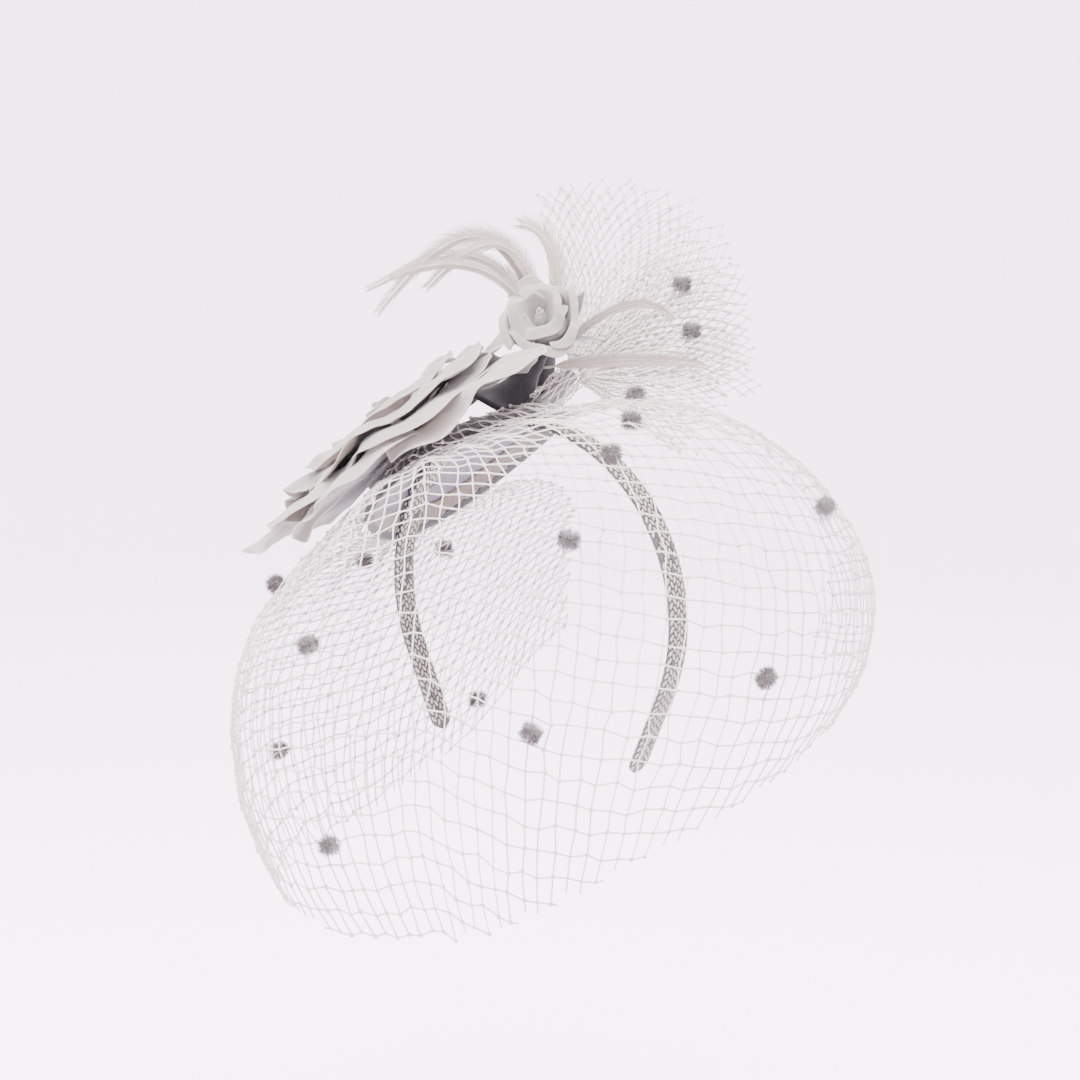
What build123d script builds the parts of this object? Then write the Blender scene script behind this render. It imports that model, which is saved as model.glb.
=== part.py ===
"""Headband fascinator: braided springy band, oval base, fabric rose, rosette, feathers and dotted netting.

Millimetres. Origin at the centre of the headband's arc, +X towards the wearer's left ear,
-Y towards the face, +Z up.
"""

import math
import os

from build123d import *

os.makedirs("parts", exist_ok=True)

# headband: an arc with two straight tangent arms, seen from the front
BAND_INNER_R = 75.0        # inner face of the braid, on the arc
BAND_ARC_HALF = 114.0      # degrees from the top to where an arm begins
BAND_ARM = 39.0            # straight arm, from the arc to the tip
BAND_WIDTH = 12.0
BRAID_WALL = 0.5
CORE_THICK = 1.7
CORE_CLEAR = 0.05          # between the strip and the braid drawn over it
CORE_END_CLEAR = 0.8       # the strip stops short of the closed braid tip
TIP_ROUND = 0.46           # tip corner radius as a share of the strip's width
TIP_REACH = 1.0            # how far above an arm's lowest corner its tip edges are looked for
PLAIN_HINGE = 60.0         # where the plain-side arm flexes, degrees from the top
FLOWER_HINGE = -84.0       # where the flower-side arm flexes, clear of the base
FLEX_GAP = 0.6

# base: an oval disc curved to the head, stitched on top of the band
BASE_TILT = 36.87          # degrees its axis leans towards the flower side
BASE_HALF_LONG = 50.0      # half its length, along the band
BASE_HALF_WIDE = 43.0      # half its width, front to back
BASE_THICK = 2.0
LINING_THICK = 0.45
LINING_SET_IN = 1.5        # the lining stops short of the base's edge
RIBBON_WIDE = 8.0          # taupe ribbon that covers the lining's edge
RIBBON_THICK = 0.45
LAYER_CLEAR = 0.1          # between layers that are sewn together
BINDING_WIDE = 1.6
BINDING_PROUD = 0.4
SEAT = 0.3                 # gap at a soft seat
STITCH_R = 0.4
STITCH_COUNT = 6
STITCH_SPAN = (-66.0, -6.0)   # degrees from the top

# the heights and points below suit a base whose top has this radius; they move out with a larger one
HEAD_TOP_R = 81.43

# rose: its axis leaves the band's centre, to the front on the flower side
ROSE_AXIS = Vector(-0.641, -0.2, 0.741)
ROSE_LONG_WAY = Vector(-0.509, -0.6105, -0.6045)   # the way its longest petals reach
CORE_FELT_R = 8.0
CORE_FELT_TOP = 98.0
BACKING_R = 26.0
BACKING_TOP = 83.2
PETAL_CLEAR = 0.5          # between neighbours in one layer
PETAL_CORNER = 0.85        # petal corner radius as a share of the largest that fits
PETAL_CORNER_FROM = 0.9    # share of a petal's length past which its corners are rounded
PETAL_SPARE_ANGLE = 1.0    # degrees trimmed from each side of a petal
PETAL_SWEEP_SPARE = 1.0    # degrees that its bowed strip runs past its outline on each side
# name, petals, turn, underside at root / middle / rim (heights on the axis), thickness, radii of each
ROSE_LAYERS = (
    ("outer_petal", 0.0, (83.9, 83.4, 79.4), 2.4, (82.0, 80.0, 66.0, 53.0, 62.0, 78.0)),
    ("middle_petal", 26.0, (87.4, 88.0, 84.4), 2.4, (72.0, 70.0, 58.0, 57.0, 68.0)),
    ("inner_petal", 60.0, (91.0, 92.8, 89.8), 2.2, (56.0, 54.0, 48.0, 48.0, 52.0)),
    ("upper_petal", 15.0, (94.4, 97.4, 95.2), 2.0, (40.0, 38.0, 36.0, 38.0)),
)
BUD_R = 7.0
BUD_HEIGHT = 9.0

# rosette: a small folded rose at the back of the crown, on a felt stem
ROSETTE_CENTRE = Vector(-13.5, 22.3, 116.2)
ROSETTE_AXIS = Vector(0.15, -0.45, 0.88)
ROSETTE_FOOT = -9.0        # underside of its calyx, on its own axis
ROSETTE_CALYX_R = 8.0
ROSETTE_CALYX_THICK = 2.0
ROSETTE_OUTER = (4, 5.2, 15.0, -6.4, 1.8)    # petals, inner radius, outer radius, foot, thickness
ROSETTE_INNER = (3, 3.2, 9.5, -1.8, 1.5)
ROSETTE_RISE = 12.0
ROSETTE_BOW = 0.3          # share of the rise at a petal's middle
ROSETTE_SPARE_ANGLE = 3.0  # degrees trimmed from each side of a petal
ROSETTE_HEART_R = 2.8
ROSETTE_HEART_TOP = 8.5
STEM_FOOT = (25.0, 13.0)   # place on the base, along and across
STEM_R = (6.5, 4.6)
LEAF_THICK = 0.8
# root, bend, tip, width
LEAVES = (
    (Vector(-9.5, 32.0, 108.5), Vector(-6.5, 35.5, 118.0), Vector(-1.5, 36.5, 128.5), 8.0),
    (Vector(-6.2, 26.4, 108.1), Vector(2.5, 29.0, 110.0), Vector(12.0, 34.0, 108.0), 8.0),
)

# feathers, held in a bound stem behind the rosette
FEATHER_STEM_FOOT = (30.0, 28.0)
FEATHER_STEM_TOP = Vector(-20.3, 34.5, 99.0)
FEATHER_STEM_R = (4.2, 3.6)
FEATHER_THICK = 0.7
BLADE_STEPS = 12
QUILL_WIDE = 1.2
BLADE_PEAK = 0.75          # below 1 puts a blade's widest place before its middle
BLADE_TAPER = 1.5          # above 1 narrows both of its ends
# offset from the stem's top, bend, tip, width
FEATHERS = (
    ((-1.3, 1.5, -0.4), Vector(-41.9, 18.2, 150.4), Vector(-65.0, -26.3, 119.6), 9.0),
    ((0.0, 0.0, 0.0), Vector(-34.0, 24.0, 146.0), Vector(-51.0, -10.0, 130.0), 9.0),
    ((1.5, -1.8, 0.5), Vector(-37.0, 9.0, 138.0), Vector(-61.0, -36.5, 131.4), 6.0),
    ((-2.4, 2.6, -0.8), Vector(-25.4, 45.9, 138.7), Vector(-38.9, 38.7, 155.2), 10.0),
    ((-1.2, -2.4, 0.0), Vector(-28.5, 28.5, 122.0), Vector(-35.0, 24.0, 136.5), 6.0),
    ((-3.0, 1.2, 0.0), Vector(-46.5, 24.6, 139.5), Vector(-75.0, -8.0, 133.5), 6.0),
)
# root, bend, tip, width of the two that lie the other way, under the netting fan
SIDE_FEATHERS = (
    (Vector(-12.8, 22.3, 95.9), Vector(16.0, 40.4, 99.6), Vector(44.0, 58.4, 98.2), 7.0),
    (Vector(-17.8, 36.2, 99.9), Vector(8.5, 50.0, 121.0), Vector(26.5, 62.0, 116.0), 5.0),
)

# birdcage veil: (degrees round from the face, then radius and height of shoulder, belly and hem)
VEIL_STATIONS = (
    (-150.0, 86.0, 30.0, 96.0, 0.0, 95.0, -36.0),
    (-120.0, 92.0, 12.0, 100.0, -35.0, 95.0, -86.0),
    (-90.0, 99.0, -2.0, 108.0, -50.0, 93.0, -110.0),
    (-60.0, 107.0, 1.0, 126.0, -46.0, 99.0, -113.0),
    (-30.0, 106.0, 20.0, 132.0, -36.0, 114.0, -114.0),
    (0.0, 100.0, 48.0, 134.0, -20.0, 128.0, -111.0),
    (30.0, 94.0, 62.0, 136.0, -4.0, 130.0, -104.0),
    (60.0, 90.0, 70.0, 138.0, 10.0, 129.0, -74.0),
    (90.0, 88.0, 74.0, 138.0, 18.0, 129.0, -52.0),
    (120.0, 88.0, 76.0, 138.0, 24.0, 130.0, -39.0),
    (150.0, 84.0, 72.0, 132.0, 22.0, 128.0, -31.0),
)
VEIL_THICK = 1.0
VEIL_ROWS = 9
VEIL_STEP = 10.0           # degrees between the lines that the surface runs through
VEIL_TOP_CLEAR = 0.95      # between the base's binding and the veil's gathered edge
VEIL_TOP_RISE = 0.5        # the gathered edge's height above the base's underside
VEIL_LINES = (0.0, 1 / 3, 2 / 3, 1.0)         # shares down the veil of edge, shoulder, belly and hem
VEIL_OUTWARD = (0.3, -1.0, 0.2)

# netting fan that stands up behind the rosette
FAN_APEX = Vector(-10.6, 38.7, 91.1)
FAN_SIDE = Vector(0.76, 0.649, 0.0)
FAN_UP = Vector(-0.316, 0.371, 0.872)
FAN_START_R = 3.5
FAN_ANGLES = (-9.0, 98.0)
FAN_RADII = (83.0, 84.0, 94.0, 103.0, 101.0, 94.0)
FAN_THICK = 1.0
FAN_RUFFLES = 3.0
FAN_RUFFLE_DEPTH = 4.0
FAN_RUFFLE_GROWTH = 1.5    # power by which the ruffles deepen with the radius
FAN_STEPS = (13, 5)
FAN_FOOT = (41.0, 15.0)
FAN_STEM_R = (3.8, 3.0)

# chenille dots: round and along the veil (degrees, share of the way down), and on the fan (degrees, radius)
VEIL_DOTS = (
    (-44.0, 0.34), (-4.0, 0.56), (-66.0, 0.82), (6.0, 0.86), (-88.0, 0.27), (-114.0, 0.38), (46.0, 0.46),
    (-124.0, 0.92), (40.0, 0.74), (78.0, 0.76), (110.0, 0.54), (62.0, 0.30), (124.0, 0.13), (80.0, 0.22),
)
FAN_DOTS = ((40.0, 64.0), (20.0, 56.0))
DOT_R = 3.0
DOT_LENGTH = 8.0
DOT_ROUND = 2.0
DOT_PROBE = (0.5, 0.01)    # degrees round and share down, to find how the netting lies under a dot

BRAID_THICK = CORE_THICK + 2 * (BRAID_WALL + CORE_CLEAR)
BAND_OUTER_R = BAND_INNER_R + BRAID_THICK
BAND_CORNER_R = math.hypot(BAND_OUTER_R, BAND_WIDTH / 2)
RIBBON_R = BAND_CORNER_R + SEAT
LINING_R = RIBBON_R + RIBBON_THICK + LAYER_CLEAR
BASE_R = LINING_R + LINING_THICK + LAYER_CLEAR
BASE_TOP_R = BASE_R + BASE_THICK
OUT = BASE_TOP_R / HEAD_TOP_R
ROSETTE_PLACE = ROSETTE_CENTRE * OUT
FEATHER_PLACE = FEATHER_STEM_TOP * OUT
FAN_PLACE = FAN_APEX * OUT
FAR = 300.0                # beyond every piece

base_axis = Vector(-math.sin(math.radians(BASE_TILT)), 0, math.cos(math.radians(BASE_TILT)))
base_along = Vector(math.cos(math.radians(BASE_TILT)), 0, math.sin(math.radians(BASE_TILT)))
BASE_PLANE = Plane(origin=(0, 0, 0), x_dir=base_along, z_dir=base_axis)
ROSE_PLANE = Plane(origin=(0, 0, 0), x_dir=ROSE_LONG_WAY, z_dir=ROSE_AXIS)
ROSETTE_PLANE = Plane(origin=ROSETTE_PLACE, x_dir=(1, 0, 0), z_dir=ROSETTE_AXIS)


def write(name, *solids):
    """One sub-part's file, holding its separate solids."""
    shape = solids[0] if len(solids) == 1 else Compound(children=list(solids))
    shape.label = name
    export_step(shape, f"parts/{name}.step")


def largest(shape):
    """The largest solid of a boolean's result."""
    return max(shape.solids(), key=lambda solid: solid.volume)


def in_plane(plane, shape):
    """A shape made round the origin, carried to a plane."""
    return plane.location * shape


# --- headband ---------------------------------------------------------------------------------------------

def band_point(radius, angle):
    """A point on the band's arc in the front view; the angle is from the top, towards +X."""
    turn = math.radians(angle)
    return (radius * math.sin(turn), radius * math.cos(turn))


def arm_point(radius, side, length):
    """A point along the straight arm that carries on from the arc."""
    turn = math.radians(BAND_ARC_HALF)
    x, z = band_point(radius, BAND_ARC_HALF)
    return (side * (x + length * math.cos(turn)), z - length * math.sin(turn))


def strip(inner_r, outer_r, arm, width):
    """A springy strip of the band's shape, with rounded tips."""
    outline = [
        ThreePointArc(arm_point(outer_r, -1, 0), (0, outer_r), arm_point(outer_r, 1, 0)),
        Line(arm_point(outer_r, 1, 0), arm_point(outer_r, 1, arm)),
        Line(arm_point(outer_r, 1, arm), arm_point(inner_r, 1, arm)),
        Line(arm_point(inner_r, 1, arm), arm_point(inner_r, 1, 0)),
        ThreePointArc(arm_point(inner_r, 1, 0), (0, inner_r), arm_point(inner_r, -1, 0)),
        Line(arm_point(inner_r, -1, 0), arm_point(inner_r, -1, arm)),
        Line(arm_point(inner_r, -1, arm), arm_point(outer_r, -1, arm)),
        Line(arm_point(outer_r, -1, arm), arm_point(outer_r, -1, 0)),
    ]
    side_view = Plane.XZ * make_face(outline)
    solid = extrude(side_view, width / 2, dir=(0, 1, 0), both=True)
    lowest = arm_point(inner_r, 1, arm)[1] + TIP_REACH
    tips = [
        edge
        for edge in solid.edges()
        if abs(edge.length - (outer_r - inner_r)) < 0.01 and edge.center().Z < lowest
    ]
    return fillet(tips, width * TIP_ROUND)


def flex_slot(angle):
    """The cut where an arm flexes against the crown."""
    x, z = band_point(BAND_INNER_R + BRAID_THICK / 2, angle)
    slot = Box(3 * BRAID_THICK, 2 * BAND_WIDTH, FLEX_GAP)
    return Pos(x, 0, z) * Rot(0, angle - 90, 0) * slot


def split_band(solid):
    """The strip's three lengths, from -X to +X: flower-side arm, crown, plain-side arm."""
    cut = solid - flex_slot(PLAIN_HINGE) - flex_slot(FLOWER_HINGE)
    return sorted(cut.solids(), key=lambda piece: piece.center().X)


def headband():
    wall = BRAID_WALL + CORE_CLEAR
    outer = strip(BAND_INNER_R, BAND_OUTER_R, BAND_ARM, BAND_WIDTH)
    hollow = strip(
        BAND_INNER_R + BRAID_WALL,
        BAND_OUTER_R - BRAID_WALL,
        BAND_ARM - CORE_END_CLEAR + CORE_CLEAR,
        BAND_WIDTH - 2 * BRAID_WALL,
    )
    core = strip(
        BAND_INNER_R + wall,
        BAND_OUTER_R - wall,
        BAND_ARM - CORE_END_CLEAR,
        BAND_WIDTH - 2 * wall,
    )
    names = ("flower_side_arm", "crown", "plain_side_arm")
    for name, piece in zip(names, split_band(outer - hollow)):
        write(f"{name}_braid", piece)
    for name, piece in zip(names, split_band(core)):
        write(f"{name}_strip", piece)


# --- base -------------------------------------------------------------------------------------------------

def oval(half_long, half_wide):
    """A tall oval prism on the base's axis."""
    return in_plane(BASE_PLANE, extrude(Ellipse(half_long, half_wide), FAR))


def head_shell(inner_r, outer_r):
    """A ball-shaped shell about the head's centre."""
    ball = Rot(90, 0, 0) * Sphere(outer_r)
    return ball - Rot(90, 0, 0) * Sphere(inner_r)


def base_point(radius, along, across):
    """A point at this radius, above a place given along and across the base."""
    height = math.sqrt(radius**2 - along**2 - across**2)
    return base_axis * height + base_along * along + Vector(0, 1, 0) * across


def base():
    lining = (BASE_HALF_LONG - LINING_SET_IN, BASE_HALF_WIDE - LINING_SET_IN)
    ribbon = (lining[0] - RIBBON_WIDE, lining[1] - RIBBON_WIDE)
    binding_foot = LINING_R - BINDING_PROUD
    edge = (BASE_HALF_LONG + LAYER_CLEAR, BASE_HALF_WIDE + LAYER_CLEAR)
    rim = (edge[0] + BINDING_WIDE, edge[1] + BINDING_WIDE)
    write("base_disc", largest(head_shell(BASE_R, BASE_TOP_R) & oval(BASE_HALF_LONG, BASE_HALF_WIDE)))
    write("base_lining", largest(head_shell(LINING_R, LINING_R + LINING_THICK) & oval(*lining)))
    write(
        "lining_ribbon",
        largest((head_shell(RIBBON_R, RIBBON_R + RIBBON_THICK) & oval(*lining)) - oval(*ribbon)),
    )
    shell = head_shell(binding_foot, BASE_TOP_R + BINDING_PROUD)
    write("base_binding", largest((shell & oval(*rim)) - oval(*edge)))


def base_stitches():
    """Whip stitches along both edges of the band, up to the lining."""
    stitches = []
    foot = BAND_INNER_R + STITCH_R
    length = RIBBON_R - SEAT - foot
    first, last = STITCH_SPAN
    for side in (-1, 1):
        y = side * (BAND_WIDTH / 2 + STITCH_R + LAYER_CLEAR)
        for index in range(STITCH_COUNT):
            angle = first + (last - first) * index / (STITCH_COUNT - 1)
            x, z = band_point(foot, angle)
            thread = Cylinder(STITCH_R, length, align=(Align.CENTER, Align.CENTER, Align.MIN))
            stitches.append(Pos(x, y, z) * Rot(0, angle, 0) * thread)
    write("base_stitches", *stitches)


# --- stems -----------------------------------------------------------------------------------------------

def stem(foot, top, foot_r, top_r):
    """A round stem between two points."""
    way = top - foot
    plane = Plane(origin=foot, x_dir=(0, 1, 0), z_dir=way)
    return in_plane(plane, Cone(foot_r, top_r, way.length, align=(Align.CENTER, Align.CENTER, Align.MIN)))


def rosette_stem(grown):
    """The felt stem from the base into the rosette's calyx, before it is trimmed; grown all round."""
    top = ROSETTE_PLANE.offset(ROSETTE_FOOT + STEM_R[1]).origin
    return stem(base_point(BASE_R, *STEM_FOOT), top, STEM_R[0] + grown, STEM_R[1] + grown)


# --- rose -------------------------------------------------------------------------------------------------

def sector(start_r, end_r, half_angle):
    """A petal's outline: a sector about the origin, centred on +X, with rounded outer corners."""
    turn = math.radians(half_angle)
    half_sine = math.sin(turn)
    widest_corner = end_r * half_sine / (1 + half_sine)
    first = (start_r * math.cos(turn), -start_r * math.sin(turn))
    second = (end_r * math.cos(turn), -end_r * math.sin(turn))
    third = (second[0], -second[1])
    fourth = (first[0], -first[1])
    outline = [
        Line(first, second),
        ThreePointArc(second, (end_r, 0), third),
        Line(third, fourth),
        ThreePointArc(fourth, (start_r, 0), first),
    ]
    face = make_face(outline)
    far = PETAL_CORNER_FROM * end_r
    corners = [vertex for vertex in face.vertices() if vertex.X**2 + vertex.Y**2 > far**2]
    return fillet(corners, PETAL_CORNER * widest_corner)


def petal(start_r, end_r, half_angle, heights, thick):
    """One petal: a bowed strip turned about +Z, trimmed to its outline."""
    root, middle, rim = heights
    centre_r = (start_r + end_r) / 2
    under = ThreePointArc((start_r, 0, root), (centre_r, 0, middle), (end_r, 0, rim))
    over = ThreePointArc((end_r, 0, rim + thick), (centre_r, 0, middle + thick), (start_r, 0, root + thick))
    profile = make_face([
        under,
        Line((end_r, 0, rim), (end_r, 0, rim + thick)),
        over,
        Line((start_r, 0, root + thick), (start_r, 0, root)),
    ])
    sweep_angle = 2 * (half_angle + PETAL_SWEEP_SPARE)
    bowl = Rot(0, 0, -sweep_angle / 2) * revolve(profile, Axis.Z, revolution_arc=sweep_angle)
    outline = Pos(0, 0, -FAR / 2) * extrude(sector(start_r, end_r, half_angle), FAR)
    return largest(bowl & outline)


def rose():
    stem_room = rosette_stem(PETAL_CLEAR)
    for name, turn, heights, thick, radii in ROSE_LAYERS:
        start_r = CORE_FELT_R + SEAT
        pitch = 360 / len(radii)
        placed_heights = [height * OUT for height in heights]
        for index, end_r in enumerate(radii):
            gap_angle = math.degrees(PETAL_CLEAR / end_r)
            half_angle = pitch / 2 - gap_angle - PETAL_SPARE_ANGLE
            piece = petal(start_r, end_r, half_angle, placed_heights, thick)
            placed = in_plane(ROSE_PLANE, Rot(0, 0, turn + index * pitch) * piece)
            write(f"{name}_{index + 1}", largest(placed - stem_room))


def rose_middle():
    ball = Sphere(BASE_TOP_R + SEAT)
    backing_top = BACKING_TOP * OUT
    felt_top = CORE_FELT_TOP * OUT
    backing = extrude(Circle(BACKING_R), backing_top) - ball
    felt_foot = Pos(0, 0, backing_top + LAYER_CLEAR)
    felt = felt_foot * extrude(Circle(CORE_FELT_R), felt_top - backing_top - LAYER_CLEAR)
    bud = Pos(0, 0, felt_top + LAYER_CLEAR) * Cylinder(
        BUD_R, BUD_HEIGHT, align=(Align.CENTER, Align.CENTER, Align.MIN)
    )
    bud = fillet(bud.edges().group_by(Axis.Z)[-1], BUD_R / 2)
    write("rose_backing", in_plane(ROSE_PLANE, largest(backing)))
    write("rose_felt_core", in_plane(ROSE_PLANE, felt))
    write("rose_bud", in_plane(ROSE_PLANE, bud))


# --- rosette ----------------------------------------------------------------------------------------------

def rosette():
    foot_plane = ROSETTE_PLANE.offset(ROSETTE_FOOT)
    low = (Align.CENTER, Align.CENTER, Align.MIN)
    write("rosette_calyx", in_plane(foot_plane, Cylinder(ROSETTE_CALYX_R, ROSETTE_CALYX_THICK, align=low)))
    felt_stem = rosette_stem(0.0) - Sphere(BASE_TOP_R + SEAT)
    over_top = in_plane(foot_plane.offset(-SEAT), Cylinder(FAR, FAR, align=low))
    write("rosette_stem", largest(felt_stem - over_top))
    for name, ring in (("rosette_outer_petal", ROSETTE_OUTER), ("rosette_inner_petal", ROSETTE_INNER)):
        count, start_r, end_r, foot, thick = ring
        pitch = 360 / count
        for index in range(count):
            cup = petal(
                start_r, end_r, pitch / 2 - ROSETTE_SPARE_ANGLE,
                (foot, foot + ROSETTE_RISE * ROSETTE_BOW, foot + ROSETTE_RISE), thick,
            )
            write(f"{name}_{index + 1}", in_plane(ROSETTE_PLANE, Rot(0, 0, index * pitch) * cup))
    heart_foot = ROSETTE_FOOT + ROSETTE_CALYX_THICK + LAYER_CLEAR
    heart = Pos(0, 0, heart_foot) * Cylinder(ROSETTE_HEART_R, ROSETTE_HEART_TOP - heart_foot, align=low)
    write("rosette_heart", in_plane(ROSETTE_PLANE, heart))


# --- feathers and leaves ----------------------------------------------------------------------------------

def blade(root, bend, tip, wide, thick):
    """A flat blade on a bowed line through three points, widest past its middle."""
    chord = tip - root
    plane = Plane(origin=root, x_dir=chord, z_dir=chord.cross(bend - root))
    reach = chord.length
    local = plane.to_local_coords(bend)
    control = (2 * local.X - reach / 2, 2 * local.Y)
    upper = []
    lower = []
    for index in range(BLADE_STEPS + 1):
        share = index / BLADE_STEPS
        spread = math.sin(math.pi * share**BLADE_PEAK) ** BLADE_TAPER
        width = QUILL_WIDE / 2 + (wide - QUILL_WIDE / 2) * spread
        x = 2 * share * (1 - share) * control[0] + share**2 * reach
        y = 2 * share * (1 - share) * control[1]
        slope_x = 2 * (1 - 2 * share) * control[0] + 2 * share * reach
        slope_y = 2 * (1 - 2 * share) * control[1]
        size = math.hypot(slope_x, slope_y)
        side = (-slope_y / size * width / 2, slope_x / size * width / 2)
        upper.append((x + side[0], y + side[1]))
        lower.append((x - side[0], y - side[1]))
    outline = make_face([
        Spline(*upper),
        Line(upper[-1], lower[-1]),
        Spline(*reversed(lower)),
        Line(lower[0], upper[0]),
    ])
    return in_plane(plane, extrude(outline, thick / 2, both=True))


def feathers():
    foot = base_point(BASE_R, *FEATHER_STEM_FOOT)
    bound = stem(foot, FEATHER_PLACE, *FEATHER_STEM_R) - Sphere(BASE_TOP_R + SEAT)
    write("feather_binding", largest(bound))
    way = (FEATHER_PLACE - foot).normalized()
    for index, (offset, bend, tip, wide) in enumerate(FEATHERS):
        root = FEATHER_PLACE + Vector(*offset) + way * (SEAT + FEATHER_THICK)
        write(f"feather_{index + 1}", blade(root, bend * OUT, tip * OUT, wide, FEATHER_THICK))
    for index, (root, bend, tip, wide) in enumerate(SIDE_FEATHERS):
        write(f"side_feather_{index + 1}", blade(root * OUT, bend * OUT, tip * OUT, wide, FEATHER_THICK))
    for index, (root, bend, tip, wide) in enumerate(LEAVES):
        write(f"leaf_{index + 1}", blade(root * OUT, bend * OUT, tip * OUT, wide, LEAF_THICK))


# --- netting ----------------------------------------------------------------------------------------------

def veil_top(angle):
    """A point of the veil's gathered edge, round the base's binding."""
    turn = math.radians(angle)
    out = LAYER_CLEAR + BINDING_WIDE + VEIL_TOP_CLEAR
    along = (BASE_HALF_LONG + out) * math.sin(turn)
    across = -(BASE_HALF_WIDE + out) * math.cos(turn)
    return base_point(BASE_R + VEIL_TOP_RISE, along, across)


def veil_ring(angle, radius, height):
    turn = math.radians(angle)
    return Vector(radius * math.sin(turn), -radius * math.cos(turn), height)


def veil_line(station, shares):
    """Points down the veil: a cubic through its gathered edge, shoulder, belly and hem."""
    angle, shoulder_r, shoulder_z, belly_r, belly_z, hem_r, hem_z = station
    knots = (
        veil_top(angle),
        veil_ring(angle, shoulder_r, shoulder_z) * OUT,
        veil_ring(angle, belly_r, belly_z) * OUT,
        veil_ring(angle, hem_r, hem_z) * OUT,
    )
    points = []
    for s in shares:
        weights = [
            math.prod((s - other) / (own - other) for other in VEIL_LINES if other != own)
            for own in VEIL_LINES
        ]
        points.append(sum((knot * weight for knot, weight in zip(knots, weights)), Vector(0, 0, 0)))
    return points


def thin_sheet(rows, thick, outward):
    """A thin closed solid on a smooth surface through rows of points."""
    surface = Face.make_surface_from_array_of_points(rows)
    return Solid.thicken(surface, thick, normal_override=outward)


def station_between(angle):
    """A veil station at any angle, on a smooth line through the ones that are given."""
    angles = [station[0] for station in VEIL_STATIONS]
    index = max(i for i in range(len(angles) - 1) if angles[i] <= angle or i == 0)
    share = (angle - angles[index]) / (angles[index + 1] - angles[index])
    last = len(angles) - 1
    before, here, after, beyond = (VEIL_STATIONS[min(max(index + k, 0), last)] for k in (-1, 0, 1, 2))
    values = [angle]
    for a, b, c, d in zip(before[1:], here[1:], after[1:], beyond[1:]):
        bend = (2 * a - 5 * b + 4 * c - d) * share**2 + (3 * b - a - 3 * c + d) * share**3
        values.append(b + ((c - a) * share + bend) / 2)
    return tuple(values)


def veil():
    shares = [row / (VEIL_ROWS - 1) for row in range(VEIL_ROWS)]
    first, last = VEIL_STATIONS[0][0], VEIL_STATIONS[-1][0]
    count = round((last - first) / VEIL_STEP)
    rows = [veil_line(station_between(first + VEIL_STEP * index), shares) for index in range(count + 1)]
    write("veil_net", thin_sheet(rows, VEIL_THICK, VEIL_OUTWARD))


def fan_point(angle, radius, ruffle_share=1.0):
    """A point of the netting fan; its ruffles deepen towards the edge."""
    turn = math.radians(angle)
    share = (angle - FAN_ANGLES[0]) / (FAN_ANGLES[1] - FAN_ANGLES[0])
    depth = FAN_RUFFLE_DEPTH * ruffle_share * (radius / max(FAN_RADII)) ** FAN_RUFFLE_GROWTH
    ripple = depth * math.sin(2 * math.pi * FAN_RUFFLES * share)
    normal = FAN_SIDE.cross(FAN_UP)
    level = FAN_SIDE * (radius * math.cos(turn)) + FAN_UP * (radius * math.sin(turn))
    return FAN_PLACE + level + normal * ripple


def fan_edge(share):
    """The fan's outer radius at a share of its spread."""
    place = share * (len(FAN_RADII) - 1)
    index = min(int(place), len(FAN_RADII) - 2)
    return FAN_RADII[index] + (FAN_RADII[index + 1] - FAN_RADII[index]) * (place - index)


def fan():
    rows = []
    across, along = FAN_STEPS
    for i in range(across):
        share = i / (across - 1)
        angle = FAN_ANGLES[0] + (FAN_ANGLES[1] - FAN_ANGLES[0]) * share
        end = fan_edge(share)
        reach = end - FAN_START_R
        rows.append([fan_point(angle, FAN_START_R + reach * k / (along - 1)) for k in range(along)])
    write("fan_net", thin_sheet(rows, FAN_THICK, FAN_SIDE.cross(FAN_UP)))
    foot = base_point(BASE_R, *FAN_FOOT)
    gather = stem(foot, FAN_PLACE, *FAN_STEM_R) - Sphere(BASE_TOP_R + SEAT)
    write("fan_gather", largest(gather))


# --- chenille dots ----------------------------------------------------------------------------------------

def dot_on(centre, across, outward, lift):
    """A dot that lies on the netting, with its length across."""
    plane = Plane(origin=centre + outward * (DOT_R + lift), x_dir=outward, z_dir=across)
    barrel = Cylinder(DOT_R, DOT_LENGTH)
    return in_plane(plane, fillet(barrel.edges().filter_by(GeomType.CIRCLE), DOT_ROUND))


def dots():
    solids = []
    step, drop = DOT_PROBE
    for angle, share in VEIL_DOTS:
        here, below = veil_line(station_between(angle), (share, share + drop))
        beside = veil_line(station_between(angle + step), (share,))[0]
        across = (beside - here).normalized()
        outward = across.cross(below - here).normalized() * -1
        if outward.dot(here) < 0:
            outward = outward * -1
        solids.append(dot_on(here, across, outward, VEIL_THICK + SEAT))
    normal = FAN_SIDE.cross(FAN_UP)
    for angle, radius in FAN_DOTS:
        solids.append(dot_on(fan_point(angle, radius), FAN_SIDE, normal, FAN_THICK + 2 * SEAT))
    write("chenille_dots", *solids)


headband()
base()
base_stitches()
rose()
rose_middle()
rosette()
feathers()
veil()
fan()
dots()
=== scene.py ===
import math
import random

import bmesh
import bpy
from mathutils import Matrix, Vector, noise


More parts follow.
